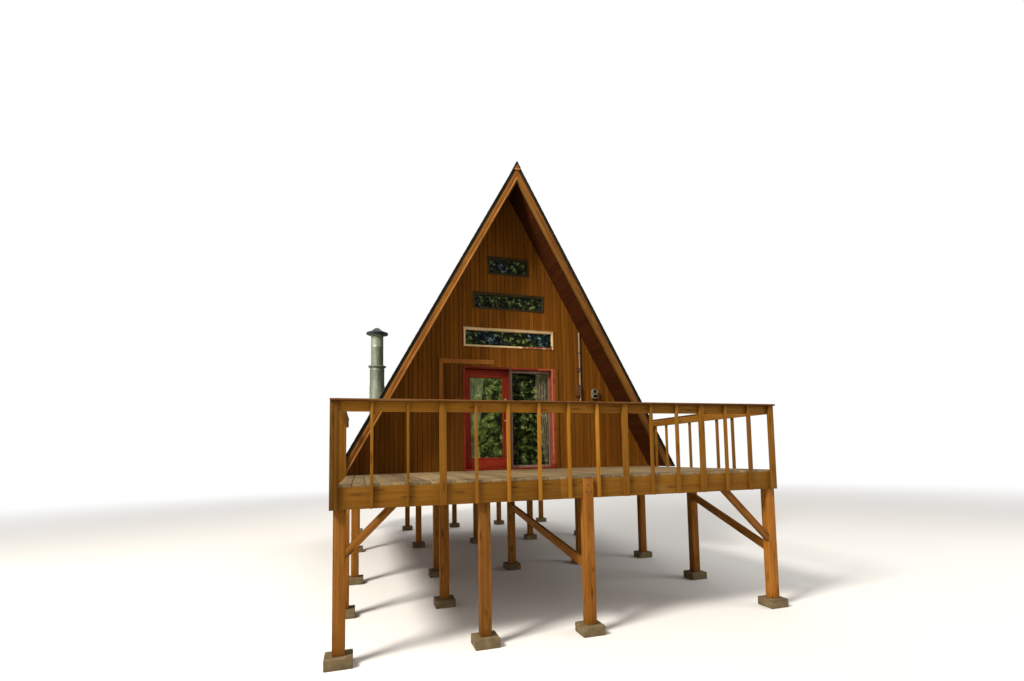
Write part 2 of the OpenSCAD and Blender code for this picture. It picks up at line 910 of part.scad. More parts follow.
module flue_flashing() {
    roof_z = floor_h + roof_rise * (1 - flue_x / half_w);
    reach = flue_base_d / 2 * tan(pitch);
    color(metal_color) difference() {
        union() {
            place(-flue_x, flue_y, roof_z - reach)
                cylinder(d = flue_base_d + 2 * collar_t, h = 2 * reach + collar_h, $fn = 64);
            mirror([1, 0, 0]) intersection() {
                gable(roof_y0, roof_y1) polygon([
                    [half_w, 0],
                    [half_w + inset_x(apron_t), 0],
                    [0, roof_rise + inset_z(apron_t)],
                    [0, roof_rise]
                ]);
                block(flue_x - apron_w / 4, flue_y - apron_w / 2, floor_h, apron_w / 2, apron_w, roof_rise);
            }
        }
        place(-flue_x, flue_y, floor_h) cylinder(d = flue_base_d + collar_fit, h = flue_top, $fn = 64);
        gable(roof_y0, roof_y1) polygon([[-half_w, 0], [half_w, 0], [0, roof_rise]]);
    }
}

// Deck boards run from the front board to the wall, just short of the deck's edges
board_end = 2;
board_side = 1;

module deck_boards() {
    all_w = deck_w - 2 * board_side;
    n = round((all_w + board_gap) / (board_w + board_gap));
    step = (all_w + board_gap) / n;
    color(deck_grey_color) for (i = [0:n - 1])
        block(deck_x0 + board_side + i * step, deck_y, board_z, step - board_gap, deck_l - board_end,
            board_t);
}

// Front board over the ends of the two side boards
module front_board() {
    block(deck_x0, deck_y, fascia_z, deck_w, fascia_t, fascia_h);
}

module side_boards() {
    for (x = [deck_x0, deck_x1 - fascia_t])
        block(x, deck_y + fascia_t, fascia_z, fascia_t, deck_l - fascia_t, fascia_h);
}

module deck_front_board() {
    color(deck_wood_color) front_board();
}

module deck_side_boards() {
    color(deck_wood_color) side_boards();
}

// Beams lie over each line of front posts and carry the joists between them
beam_x = [deck_x0 + fascia_t, deck_x0 + second_post - beam_w / 2, notched_post_x - beam_w / 2,
    deck_x1 - fascia_t - beam_w];

module deck_beams() {
    color(deck_wood_color) for (x = beam_x)
        block(x, deck_y + fascia_t, beam_z, beam_w, deck_l - fascia_t, beam_d);
}

module deck_joists() {
    l = deck_l - fascia_t;
    n = ceil((l - joist_t) / joist_gap);
    color(deck_wood_color) for (bay = [0:2], i = [0:n])
        block(beam_x[bay] + beam_w, deck_y + fascia_t + i * (l - joist_t) / n, joist_z,
            beam_x[bay + 1] - beam_x[bay] - beam_w, joist_t, joist_d);
}

// Square post on its pad
module post(x, y, top) {
    block(x - post_w / 2, y - post_w / 2, pad_h, post_w, post_w, top - pad_h);
}

// Front posts, notched round the edge boards and ending under the side rails; the third one
// covers the front board with a tongue
module front_row() {
    difference() {
        union() {
            for (p = front_posts) post(p.x, p.y, beam_z);
            post(notched_post_x, notched_post_y, beam_z);
            block(notched_post_x - post_w / 2, deck_y - baluster_w, pad_h, post_w, baluster_w,
                board_z - pad_h);
        }
        front_board();
        side_boards();
        for (x = [deck_x0 - post_w, deck_x1])
            block(x, deck_y, fascia_z, post_w, 2 * post_w, beam_d);
    }
}

module posts() {
    color(rake_color) {
        front_row();
        for (p = middle_posts) post(p.x, p.y, cross_beam_z);
        for (x = cabin_post_x, y = cabin_post_y) post(x, y, cabin_beam_z);
    }
}

// Corner brace from the inner side of a front post up to the front joist
module corner_brace(x, l, dir) {
    w = brace_w * sqrt(2);
    place(x + dir * post_w / 2, deck_y + fascia_t + brace_w, joist_z) rotate([90, 0, 0])
        linear_extrude(height = brace_w) polygon([
            [0, -l],
            [0, -l - w],
            [dir * (l + w), 0],
            [dir * l, 0]
        ]);
}

// Long brace in the stretch of Y between two posts, given by the depths of its top edge there
module long_brace(x0, x1, y0, y1, low, high) {
    l = norm([x1 - x0, y1 - y0]);
    over = long_brace_t;
    rise = (low - high) / l;
    intersection() {
        block(-half_w, y0, 0, cabin_w, y1 - y0, floor_h);
        place(x0, y0, floor_h - low) rotate([0, 0, -atan((x1 - x0) / (y1 - y0))]) rotate([0, -90, 0])
            place(0, 0, -long_brace_t / 2) linear_extrude(height = long_brace_t) polygon([
                [-over * rise, -over],
                [(l + over) * rise, l + over],
                [(l + over) * rise - long_brace_d, l + over],
                [-over * rise - long_brace_d, -over]
            ]);
    }
}

module deck_braces() {
    color(rake_color) {
        corner_brace(left_post_x, left_brace_l, 1);
        corner_brace(right_post_x, right_brace_l, -1);
        long_brace(right_post_x, right_post_x, front_post_y + post_w / 2, middle_post_y - post_w / 2,
            long_brace_low, long_brace_high);
        long_brace(notched_post_x, cabin_post_x[2], notched_post_y + post_w / 2,
            cabin_post_y[0] - post_w / 2, long_brace_low, mid_brace_high);
    }
}

// Square pads under all posts
module pad(x, y) {
    block(x - pad_w / 2, y - pad_w / 2, 0, pad_w, pad_w, pad_h);
}

module pads() {
    color(concrete_color) {
        for (p = concat(front_posts, middle_posts)) pad(p.x, p.y);
        pad(notched_post_x, notched_post_y);
        for (x = cabin_post_x, y = cabin_post_y) pad(x, y);
    }
}

// Rail: balusters on the outside of the boards, a board behind their tops and a flat cap
rail_top = floor_h + rail_h;
cap_z = rail_top - rail_cap_t;
baluster_h = cap_z - fascia_z;
rail_to_roof = 3;
side_rail_l = deck_l - front_overhang - rail_to_roof;

// Bays run from the middle of the left corner post to the middle of the right corner pair
line_x0 = deck_x0 - corner_post_w / 2;
line_x1 = deck_x1 + baluster_w - corner_post_w / 2;
bay_w = (line_x1 - line_x0) / front_bays;
// Lines with a wide rail post in place of a baluster
wide_lines = [3, 9, 12];
function line_w(i) = len(search(i, wide_lines)) > 0 ? rail_post_w : baluster_w;

module front_rail() {
    color(deck_wood_color) {
        for (i = [1:front_bays - 1])
            block(line_x0 + i * bay_w - line_w(i) / 2, deck_y - baluster_w, fascia_z, line_w(i), baluster_w,
                baluster_h);
        block(deck_x0 - corner_post_w, deck_y - baluster_w, fascia_z, corner_post_w, corner_post_w,
            baluster_h);
        block(deck_x1 + baluster_w - corner_post_w, deck_y - baluster_w, fascia_z, corner_post_w,
            baluster_w, baluster_h);
        block(deck_x1, deck_y, fascia_z, baluster_w, corner_post_w - baluster_w, baluster_h);
        block(deck_x0, deck_y, cap_z - rail_board_h, deck_w, rail_board_t, rail_board_h);
        block(deck_x0 - corner_post_w, deck_y - cap_out, cap_z, deck_w + corner_post_w + cap_out,
            rail_cap_w, rail_cap_t);
    }
}

// Side rail of the left edge; the right one is its mirror image
module side_rail(edge) {
    n = round(side_rail_l / bay_w);
    y0 = deck_y + corner_post_w - baluster_w;
    l = side_rail_l - (y0 - deck_y);
    place(edge, 0, 0) {
        for (i = [1:n])
            block(-baluster_w, y0 + i * (l - baluster_w) / n, fascia_z, baluster_w, baluster_w, baluster_h);
        block(0, deck_y + rail_board_t, cap_z - rail_board_h, rail_board_t,
            side_rail_l - rail_board_t, rail_board_h);
        block(-cap_out, deck_y - cap_out + rail_cap_w, cap_z, rail_cap_w,
            side_rail_l - rail_cap_w + cap_out, rail_cap_t);
    }
}

module left_rail() {
    color(deck_wood_color) side_rail(deck_x0);
}

module right_rail() {
    color(deck_wood_color) mirror([1, 0, 0]) side_rail(-deck_x1);
}

roof_left();
roof_right();
rafters_left();
rafters_right();
lining_left();
lining_right();
ridge_beam();
ridge_cap();
peak_block();
rake_front_left();
rake_front_right();
rake_back_left();
rake_back_right();
front_wall_left();
front_wall_right();
front_wall_upper();
back_wall();
cabin_floor();
floor_joists();
floor_beams();
upper_windows();
lower_window();
window_glass();
entry_frame();
side_pane_frame();
side_pane_glass();
side_curtain();
door_leaf();
door_glass();
door_curtain();
door_knob();
door_lock();
frame_hinges();
leaf_hinges();
entry_trim();
wall_conduit();
wall_light();
flue_pipe();
flue_cap();
flue_flashing();
deck_boards();
deck_front_board();
deck_side_boards();
deck_beams();
deck_joists();
posts();
deck_braces();
pads();
front_rail();
left_rail();
right_rail();
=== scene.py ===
import json
import math
import random

import bpy
from mathutils import Matrix, Vector

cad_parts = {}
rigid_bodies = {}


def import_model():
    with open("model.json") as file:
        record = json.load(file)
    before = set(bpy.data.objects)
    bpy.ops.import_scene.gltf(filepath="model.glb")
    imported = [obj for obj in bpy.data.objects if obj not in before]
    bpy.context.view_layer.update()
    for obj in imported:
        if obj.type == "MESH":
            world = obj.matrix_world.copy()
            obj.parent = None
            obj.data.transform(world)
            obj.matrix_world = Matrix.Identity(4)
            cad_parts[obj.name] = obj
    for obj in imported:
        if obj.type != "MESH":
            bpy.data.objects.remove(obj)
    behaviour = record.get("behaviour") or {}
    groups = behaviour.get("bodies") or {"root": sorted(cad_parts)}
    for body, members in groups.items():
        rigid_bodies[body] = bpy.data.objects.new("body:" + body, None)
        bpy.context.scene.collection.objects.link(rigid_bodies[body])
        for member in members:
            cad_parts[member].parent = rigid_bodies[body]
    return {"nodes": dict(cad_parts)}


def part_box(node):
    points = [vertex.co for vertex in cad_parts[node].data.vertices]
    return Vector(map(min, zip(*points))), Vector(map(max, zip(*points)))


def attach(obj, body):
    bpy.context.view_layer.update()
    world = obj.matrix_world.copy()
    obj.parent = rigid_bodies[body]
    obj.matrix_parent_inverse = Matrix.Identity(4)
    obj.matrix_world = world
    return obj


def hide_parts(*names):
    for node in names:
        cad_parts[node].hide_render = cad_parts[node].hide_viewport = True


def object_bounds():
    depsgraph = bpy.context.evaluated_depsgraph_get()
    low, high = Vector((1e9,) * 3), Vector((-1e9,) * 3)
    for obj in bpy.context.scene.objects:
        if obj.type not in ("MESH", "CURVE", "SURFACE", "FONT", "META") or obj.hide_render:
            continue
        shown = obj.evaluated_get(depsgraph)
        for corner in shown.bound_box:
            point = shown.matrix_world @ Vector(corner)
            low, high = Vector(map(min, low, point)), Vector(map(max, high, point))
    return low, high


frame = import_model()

cad_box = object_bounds()
random.seed(7)

# Sizes of the real pieces that the frame's boxes don't give, in metres
EDGE = 0.003
SIDING_BOARD = 0.089
LINING_BOARD = 0.14
SHEATHING = 0.018
TAB_W = 0.305
TAB_SLOT = 0.006
TAB_T = 0.004
TAB_LAP = 0.05
COURSES = 49
BALUSTER = 0.04
RAIL_POST = 0.08
CORNER_POST = 0.09
RAIL_BOARD_H = 0.12
RAIL_BOARD_T = 0.038
CAP_T = 0.025
CAP_W = 0.105
FRONT_BAYS = 15
SIDE_BAYS = 8
WIDE_LINES = (3, 9, 12)
THIN_LINES = {1: 0.034, 2: 0.028, 4: 0.036}
PALE_LINES = (5, 6, 7, 8)
DECK_PITCH = 0.146
DECK_GAP = 0.006
SLIT = 0.001
BED = 0.010
CLOTH_T = 0.0012

# Steps and limits of the modelling
CLOTH_ROWS = 48
FOLD_STEPS = 12
ROUND = 64
ON_LINE = 0.0002
THINNEST = 0.0005

# The roof's slope, worked out from its box
roof_low, roof_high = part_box("roof_right")
APEX_Z = roof_high.z
RISE = roof_high.z - roof_low.z
HALF = roof_high.x
PITCH = math.atan2(RISE, HALF)
SLOPE = math.hypot(RISE, HALF)
FLOOR_Z = roof_low.z
GROUND_Z = cad_box[0].z

wall_low, wall_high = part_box("front_wall_upper")
WALL_Y = wall_low.y
WALL_IN = wall_high.y
fascia_low, fascia_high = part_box("deck_front_board")
RIGHT, LEFT = 1, -1
SIDES = ((LEFT, "left"), (RIGHT, "right"))
ACROSS, INWARD, UP = Vector((1, 0, 0)), Vector((0, 1, 0)), Vector((0, 0, 1))
FORWARD = (0, -1, 0)
pipe_low, pipe_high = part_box("flue_pipe")
FLUE_AXIS = (pipe_low + pipe_high) / 2
FLUE_R = (pipe_high.x - pipe_low.x) / 2


def down(side):
    """Direction down one slope of the roof."""
    return Vector((side * math.cos(PITCH), 0, -math.sin(PITCH)))


def out(side):
    """Direction square out of one slope of the roof."""
    return Vector((side * math.sin(PITCH), 0, math.cos(PITCH)))


# Modelling

def select_only(*pieces):
    bpy.ops.object.select_all(action="DESELECT")
    for piece in pieces:
        piece.select_set(True)
    bpy.context.view_layer.objects.active = pieces[0]


def edit(piece, kind="EDGE", action="SELECT"):
    """Opens one piece in edit mode with everything selected, or nothing."""
    select_only(piece)
    bpy.ops.object.mode_set(mode="EDIT")
    bpy.ops.mesh.select_mode(type=kind)
    bpy.ops.mesh.select_all(action=action)


def done():
    bpy.ops.object.mode_set(mode="OBJECT")


def face_out():
    """Turns all faces of the opened piece outward and closes it."""
    bpy.ops.mesh.select_all(action="SELECT")
    bpy.ops.mesh.normals_make_consistent(inside=False)
    done()


def pick(piece, test, kind="EDGE"):
    """Opens a piece with only those edges or faces selected whose list of corners passes the test."""
    edit(piece, kind, "DESELECT")
    done()
    mesh = piece.data
    for part in mesh.edges if kind == "EDGE" else mesh.polygons:
        part.select = test([mesh.vertices[i].co for i in part.vertices])
    bpy.ops.object.mode_set(mode="EDIT")


def duplicate(piece):
    twin = piece.copy()
    twin.data = piece.data.copy()
    bpy.context.scene.collection.objects.link(twin)
    return twin


def place(piece, matrix=None):
    """Puts a piece's place into its mesh, after an optional move."""
    if matrix is not None:
        piece.matrix_world = matrix @ piece.matrix_world
    select_only(piece)
    bpy.ops.object.transform_apply(location=True, rotation=True, scale=True)
    return piece


def at(x, y, z=0):
    return Matrix.Translation((x, y, z))


def aim(point, direction):
    """Place at a point with the local Z along a direction."""
    return Matrix.Translation(point) @ Vector(direction).to_track_quat("Z", "Y").to_matrix().to_4x4()


def framed(point, *axes):
    """Place at a point with the local X, Y and Z along three directions."""
    matrix = Matrix.Identity(4)
    for i, axis in enumerate(axes):
        matrix.col[i] = (*axis, 0)
    matrix.col[3] = (*point, 1)
    return matrix


def fresh(primitive, scale=(1, 1, 1), **settings):
    """A new primitive with its place and scale put into its mesh."""
    bpy.ops.object.select_all(action="DESELECT")
    primitive(**settings)
    piece = bpy.context.object
    piece.scale = scale
    return place(piece)


def copy_of(node):
    """A welded copy of a CAD node, with its flat faces whole again."""
    piece = duplicate(frame["nodes"][node])
    piece.parent = None
    for key in list(piece.keys()):
        del piece[key]
    piece.data.materials.clear()
    edit(piece)
    bpy.ops.mesh.customdata_custom_splitnormals_clear()
    bpy.ops.mesh.remove_doubles(threshold=0.00002)
    bpy.ops.mesh.dissolve_limited(angle_limit=math.radians(0.5))
    done()
    return piece


def ease(piece, width=EDGE, segments=2):
    """Rounds the sharp edges of a piece."""
    edit(piece, action="DESELECT")
    bpy.ops.mesh.edges_select_sharp(sharpness=math.radians(30))
    bpy.ops.mesh.bevel(offset=width, segments=segments, affect="EDGES")
    done()
    return piece


def cut(piece, point, normal, drop):
    """Cuts a piece at a plane, drops what lies on its inner or outer side and closes the cut."""
    edit(piece)
    bpy.ops.mesh.bisect(plane_co=point, plane_no=normal, use_fill=True, clear_inner=drop == "inner",
        clear_outer=drop == "outer")
    done()
    return piece


def modify(piece, kind, **settings):
    """Adds a modifier with its settings and applies it."""
    change = piece.modifiers.new(kind.lower(), kind)
    for key, value in settings.items():
        setattr(change, key, value)
    select_only(piece)
    bpy.ops.object.modifier_apply(modifier=change.name)
    return piece


def row(piece, count, step):
    """Repeats a piece in even steps."""
    return modify(piece, "ARRAY", count=count, use_relative_offset=False, use_constant_offset=True,
        constant_offset_displace=step)


def cut_away(piece, cutter):
    """Takes the space of the cutter out of a piece."""
    modify(piece, "BOOLEAN", operation="DIFFERENCE", solver="EXACT", object=cutter)
    bpy.data.objects.remove(cutter)
    return piece


def box_of(piece):
    points = [v.co for v in piece.data.vertices]
    return [Vector([end(p[i] for p in points) for i in range(3)]) for end in (min, max)]


def mark(piece, along=None, tone=None, draw=random):
    """Stores each point's place along and across its board, and one tone for the whole board."""
    mesh = piece.data
    if along is None:
        low, high = box_of(piece)
        size = high - low
        axis = max(range(3), key=lambda i: size[i])
        along = Vector([float(i == axis) for i in range(3)])
    side = along.orthogonal().normalized()
    third = along.cross(side)
    shift = [draw.uniform(0, 40) for _ in range(3)]
    value = draw.random() if tone is None else tone
    grain = mesh.attributes.new("grain", "FLOAT_VECTOR", "POINT")
    grain.data.foreach_set("vector", [
        v.co.dot(axis) + start for v in mesh.vertices for axis, start in zip((along, side, third), shift)])
    shade = mesh.attributes.new("tone", "FLOAT", "POINT")
    shade.data.foreach_set("value", [value] * len(mesh.vertices))
    return piece


def join(name, pieces):
    select_only(*pieces)
    if len(pieces) > 1:
        bpy.ops.object.join()
    pieces[0].name = pieces[0].data.name = name
    return pieces[0]


def dress(piece, name, slot, material, *nodes, body="cabin"):
    """Names and finishes a piece, and sets it on its body in place of the CAD nodes it stands for."""
    piece.name = piece.data.name = name
    piece.data.materials.clear()
    piece.data.materials.append(material)
    select_only(piece)
    bpy.ops.object.shade_smooth_by_angle(angle=math.radians(35))
    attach(piece, body)
    if nodes:
        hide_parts(*nodes)
    return piece


def solid(node, ending, slot, material, edge=EDGE, segments=2, body="cabin"):
    """A CAD node's own form with eased edges."""
    return dress(ease(copy_of(node), edge, segments), node + ending, slot, material, node, body=body)


def keep_node(name, material):
    """Gives a CAD node that is right as it stands its real finish."""
    mesh = frame["nodes"][name].data
    mesh.materials.clear()
    mesh.materials.append(material)


def board(low, high, edge=EDGE, along=None, tone=None):
    """A sawn board between two corners, with eased edges and its own grain."""
    low, high = Vector(low), Vector(high)
    piece = fresh(bpy.ops.mesh.primitive_cube_add, high - low, size=1, location=(low + high) / 2)
    edit(piece)
    bpy.ops.mesh.bevel(offset=edge, segments=2, affect="EDGES")
    done()
    return mark(piece, along, tone)


def loose_parts(piece):
    """Splits a piece into its separate solids, in a fixed order."""
    select_only(piece)
    bpy.ops.mesh.separate(type="LOOSE")
    parts = list(bpy.context.selected_objects)
    return sorted(parts, key=lambda part: [round(c, 4) for c in box_of(part)[0]])


def boards_of(node, edge=EDGE, along=None, tones=(0.0, 1.0)):
    """The solids of a CAD node as eased boards, each with its own grain."""
    parts = loose_parts(ease(copy_of(node), edge))
    for part in parts:
        mark(part, along, random.uniform(*tones))
    return join(node + "_boards", parts)


def strips(piece, across, width, edge, along, tones=None, steady=False, groove=None):
    """Cuts a piece into boards of one width, with a V where two of them meet. Steady boards keep their
    grain and tone from one piece to the next. A groove tone darkens the bottom of each V as painted shade."""
    reach = [v.co.dot(across) for v in piece.data.vertices]
    first = math.floor(min(reach) / width + 0.01)
    last = math.ceil(max(reach) / width - 0.01)
    parts = []
    for i in range(first, last):
        part = duplicate(piece)
        lines = i * width, (i + 1) * width
        cut(part, across * lines[0], across, "inner")
        cut(part, across * lines[1], across, "outer")
        if not part.data.polygons:
            bpy.data.objects.remove(part)
            continue

        def on_line(*corners):
            return any(all(abs(co.dot(across) - c) < ON_LINE for co in corners) for c in lines)

        pick(part, lambda ends: on_line(*ends) and abs((ends[1] - ends[0]).normalized().dot(along)) > 0.4)
        bpy.ops.mesh.bevel(offset=edge, segments=1, affect="EDGES")
        done()
        draw = random.Random(i) if steady else random
        mark(part, along, draw.uniform(*tones) if tones else None, draw)
        if groove is not None:
            # Painted shade: the points at the bottom of each V take the dark groove tone.
            shade = part.data.attributes["tone"].data
            for v in part.data.vertices:
                if on_line(v.co):
                    shade[v.index].value = groove
        parts.append(part)
    bpy.data.objects.remove(piece)
    return join("strips", parts)


def turned(profile, segments=48, matrix=None):
    """A round piece about Z, drawn out ring by ring along a profile of radius and height."""
    rings = [(max(r, THINNEST), z) for r, z in profile]
    radius, height = rings[0]
    piece = fresh(bpy.ops.mesh.primitive_circle_add, vertices=segments, radius=radius,
        location=(0, 0, height), fill_type="NGON")
    edit(piece, "FACE")
    for r, z in rings[1:]:
        bpy.ops.mesh.extrude_region_move(TRANSFORM_OT_translate={"value": (0, 0, z - height)})
        bpy.ops.transform.resize(value=(r / radius, r / radius, 1), center_override=(0, 0, z))
        radius, height = r, z
    face_out()
    return place(piece, matrix)


def heads(places, radius, height, sides=8):
    """Round heads of bolts, screws or nails, modelled once and copied to each point and direction."""
    master = turned([(radius, -height), (radius, height * 0.4), (radius * 0.6, height)], sides)
    copies = [place(duplicate(master), aim(point, direction)) for point, direction in places]
    bpy.data.objects.remove(master)
    return join("heads", copies)


# Materials

SHADER = "Principled BSDF"


def start(name):
    material = bpy.data.materials.new(name)
    material.use_nodes = True
    return material, material.node_tree


def fill(tree, part, inputs):
    """Fills a node's sockets with numbers, colours or other nodes' outputs."""
    for key, value in inputs.items():
        socket = part.inputs[key]
        if isinstance(value, bpy.types.NodeSocket):
            tree.links.new(value, socket)
        else:
            socket.default_value = (*value, 1) if socket.type == "RGBA" else value
    return part


def add(tree, kind, inputs=None, **settings):
    """Adds a node with its settings and inputs."""
    part = tree.nodes.new("ShaderNode" + kind)
    for key, value in settings.items():
        setattr(part, key, value)
    return fill(tree, part, inputs or {})


def finish(material, colour, roughness, shine, height, strength, distance, more=None):
    """Joins a material's colour, gloss and relief to its shader."""
    tree = material.node_tree
    relief = add(tree, "Bump", {"Height": height, "Strength": strength, "Distance": distance})
    fill(tree, tree.nodes[SHADER], {"Base Color": colour, "Roughness": roughness,
        "Specular IOR Level": shine, "Normal": relief.outputs["Normal"], **(more or {})})
    return material


def ramp(tree, value, *stops):
    """Turns a number into a colour or grey by its stops."""
    part = add(tree, "ValToRGB", {"Fac": value})
    while len(part.color_ramp.elements) < len(stops):
        part.color_ramp.elements.new(0.5)
    for element, (position, colour) in zip(part.color_ramp.elements, stops):
        element.position = position
        element.color = (*colour, 1) if isinstance(colour, tuple) else (colour, colour, colour, 1)
    return part.outputs["Color"]


def mix(tree, factor, a, b, mode="MIX"):
    return add(tree, "Mix", {0: factor, 6: a, 7: b}, data_type="RGBA", blend_type=mode).outputs[2]


def calc(tree, operation, *values):
    """One sum on numbers or sockets."""
    return add(tree, "Math", dict(enumerate(values)), operation=operation).outputs[0]


def total(tree, base, *weighed):
    """Adds sockets, each times its weight, to a base."""
    for socket, weight in weighed:
        base = calc(tree, "MULTIPLY_ADD", socket, weight, base)
    return base


def span(tree, value, to, source=(0.0, 1.0), **settings):
    """Carries a number over from one range to another."""
    return add(tree, "MapRange", {"Value": value, "From Min": source[0], "From Max": source[1],
        "To Min": to[0], "To Max": to[1]}, **settings).outputs["Result"]


def dimmed(colour, share):
    return tuple(c * share for c in colour)


def scaled(tree, vector, scale):
    """A texture's inputs for one scale, or for one on each axis."""
    if isinstance(scale, tuple):
        vector, scale = add(tree, "Mapping", {"Vector": vector, "Scale": scale}).outputs["Vector"], 1.0
    return {"Vector": vector, "Scale": scale}


def noise(tree, vector, scale, detail=4.0, rough=0.55, distortion=0.0):
    return add(tree, "TexNoise", {**scaled(tree, vector, scale), "Detail": detail, "Roughness": rough,
        "Distortion": distortion}).outputs["Fac"]


def cells(tree, vector, scale, output="Distance", **settings):
    return add(tree, "TexVoronoi", scaled(tree, vector, scale), **settings).outputs[output]


def wave(tree, vector, scale, axis, **inputs):
    """Bands across an axis. Names of inputs are given with _ for the space."""
    named = {key.replace("_", " "): value for key, value in inputs.items()}
    return add(tree, "TexWave", {"Vector": vector, "Scale": scale, **named}, wave_type="BANDS",
        bands_direction=axis).outputs["Fac"]


def object_place(tree, output="Object"):
    return add(tree, "TexCoord").outputs[output]


def attribute(tree, name, output):
    return add(tree, "Attribute", attribute_name=name).outputs[output]


def wood(name, pale, mid, dark, worn=None, worn_at=0.62, cracks=0.5, tone_range=(0.72, 1.22),
        roughness=(0.62, 0.86), relief=0.0012, shine=0.10, spread=0.26, patches=(0.9, 4.5, 4.5),
        figure=0.12, knots=0.0):
    """Sawn wood whose streaks, rings, knots and cracks run along each board."""
    material, tree = start(name)
    grain = attribute(tree, "grain", "Vector")
    streaks = noise(tree, grain, (0.7, 26, 26), 5.0, 0.6, 0.4)
    fibres = noise(tree, grain, (4, 260, 260), 3.0, 0.6)
    rings = wave(tree, scaled(tree, grain, (0.45, 8, 8))["Vector"], 2.2, "Y", Distortion=7.0, Detail=3.0,
        Detail_Scale=0.8, Detail_Roughness=0.6)
    cloud = noise(tree, grain, patches, 4.0, 0.6, 0.5)
    body = total(tree, -figure / 2, (streaks, 0.5), (rings, figure), (fibres, 0.2), (cloud, 0.3))
    colour = ramp(tree, body, (0.5 - spread, dark), (0.5, mid), (0.5 + spread, pale))
    if worn:
        patch = noise(tree, grain, (0.8, 3.2, 3.2), 6.0, 0.65, 0.6)
        colour = mix(tree, ramp(tree, patch, (worn_at, 0.0), (worn_at + 0.16, 0.75)), colour, worn)
    if knots:
        spots = ramp(tree, cells(tree, grain, (2.4, 13, 13)), (0.10, knots), (0.26, 0.0))
        colour = mix(tree, spots, colour, dimmed(dark, 0.6))
    net = cells(tree, grain, (0.9, 34, 34), feature="DISTANCE_TO_EDGE")
    net = ramp(tree, net, (0.0, 1.0), (0.045, 0.0))
    sparse = ramp(tree, noise(tree, grain, (1.6, 7, 7), 2.0), (0.56, 0.0), (0.68, 1.0))
    crack = calc(tree, "MULTIPLY", calc(tree, "MULTIPLY", net, sparse), cracks)
    colour = mix(tree, crack, colour, dimmed(dark, 0.28))
    level = span(tree, attribute(tree, "tone", "Fac"), tone_range, clamp=False)
    tint = add(tree, "HueSaturation", {"Color": colour, "Value": level}).outputs["Color"]
    height = total(tree, 0.0, (fibres, 0.35), (streaks, 0.5), (crack, -1.0))
    gloss = span(tree, streaks, roughness[::-1], (0.3, 0.7))
    return finish(material, tint, gloss, shine, height, 0.7, relief)


def paint(name, colour, faded, under, wear=0.7, shine=0.15):
    """Brushed paint that has faded in places and chipped down to what lies under it."""
    material, tree = start(name)
    spot = object_place(tree)
    fade = noise(tree, spot, 2.6, 6.0, 0.65)
    drips = noise(tree, spot, (34, 34, 3), 4.0, 0.6)
    chips = noise(tree, spot, (26, 26, 9), 8.0, 0.72, 0.6)
    base = mix(tree, ramp(tree, fade, (0.38, 0.0), (0.66, 1.0)), colour, faded)
    base = mix(tree, ramp(tree, drips, (0.42, 0.35), (0.62, 0.0)), base, dimmed(colour, 0.45))
    base = mix(tree, ramp(tree, chips, (wear, 0.0), (wear + 0.035, 0.9)), base, under)
    gloss = span(tree, fade, (0.38, 0.70))
    return finish(material, base, gloss, shine, total(tree, drips, (chips, -0.6)), 0.35, 0.0006)


def metal(name, pale, dark, metallic=0.85, roughness=(0.35, 0.6), spangle=0.0, stain=None, shine=0.5):
    """Weathered metal with streaks that run down it."""
    material, tree = start(name)
    spot = object_place(tree)
    streaks = noise(tree, spot, (14, 14, 1.6), 6.0, 0.62)
    cloud = noise(tree, spot, 6.0)
    colour = mix(tree, ramp(tree, streaks, (0.34, 0.0), (0.66, 1.0)), dark, pale)
    if spangle:
        grey = add(tree, "RGBToBW", {"Color": cells(tree, spot, 70.0, "Color")}).outputs["Val"]
        colour = mix(tree, spangle, colour, grey, "SOFT_LIGHT")
    if stain:
        colour = mix(tree, ramp(tree, cloud, (0.55, 0.0), (0.74, 0.8)), colour, stain)
    gloss = span(tree, cloud, roughness, (0.3, 0.7))
    return finish(material, colour, gloss, shine, streaks, 0.15, 0.0008, {"Metallic": metallic})


def shingle():
    """Mineral shingles: granules, one shade for each tab and paler weathered patches."""
    material, tree = start("mineral shingle")
    grain = attribute(tree, "grain", "Vector")
    parts = add(tree, "SeparateXYZ", {"Vector": grain}).outputs
    course = calc(tree, "FLOOR", calc(tree, "DIVIDE", parts["Y"], SLOPE / COURSES))
    odd = calc(tree, "MULTIPLY", calc(tree, "MODULO", course, 2.0), 0.5)
    tab = calc(tree, "FLOOR", calc(tree, "ADD", calc(tree, "DIVIDE", parts["X"], TAB_W), odd))
    tab_place = add(tree, "CombineXYZ", {"X": tab, "Y": course}).outputs["Vector"]
    shade = add(tree, "TexWhiteNoise", {"Vector": tab_place}, noise_dimensions="3D").outputs["Value"]
    granules = noise(tree, grain, 420.0, 2.0, 0.7)
    patches = noise(tree, grain, (0.5, 1.1, 1), 5.0, 0.6)
    colour = ramp(tree, shade, (0.0, (0.028, 0.022, 0.018)), (0.35, (0.05, 0.04, 0.032)),
        (0.7, (0.075, 0.06, 0.048)), (1.0, (0.10, 0.075, 0.055)))
    colour = mix(tree, ramp(tree, granules, (0.4, 0.0), (0.62, 0.55)), colour, (0.19, 0.155, 0.12))
    colour = mix(tree, ramp(tree, patches, (0.52, 0.0), (0.72, 0.45)), colour, (0.085, 0.095, 0.055))
    return finish(material, colour, 0.93, 0.1, granules, 0.6, 0.0015)


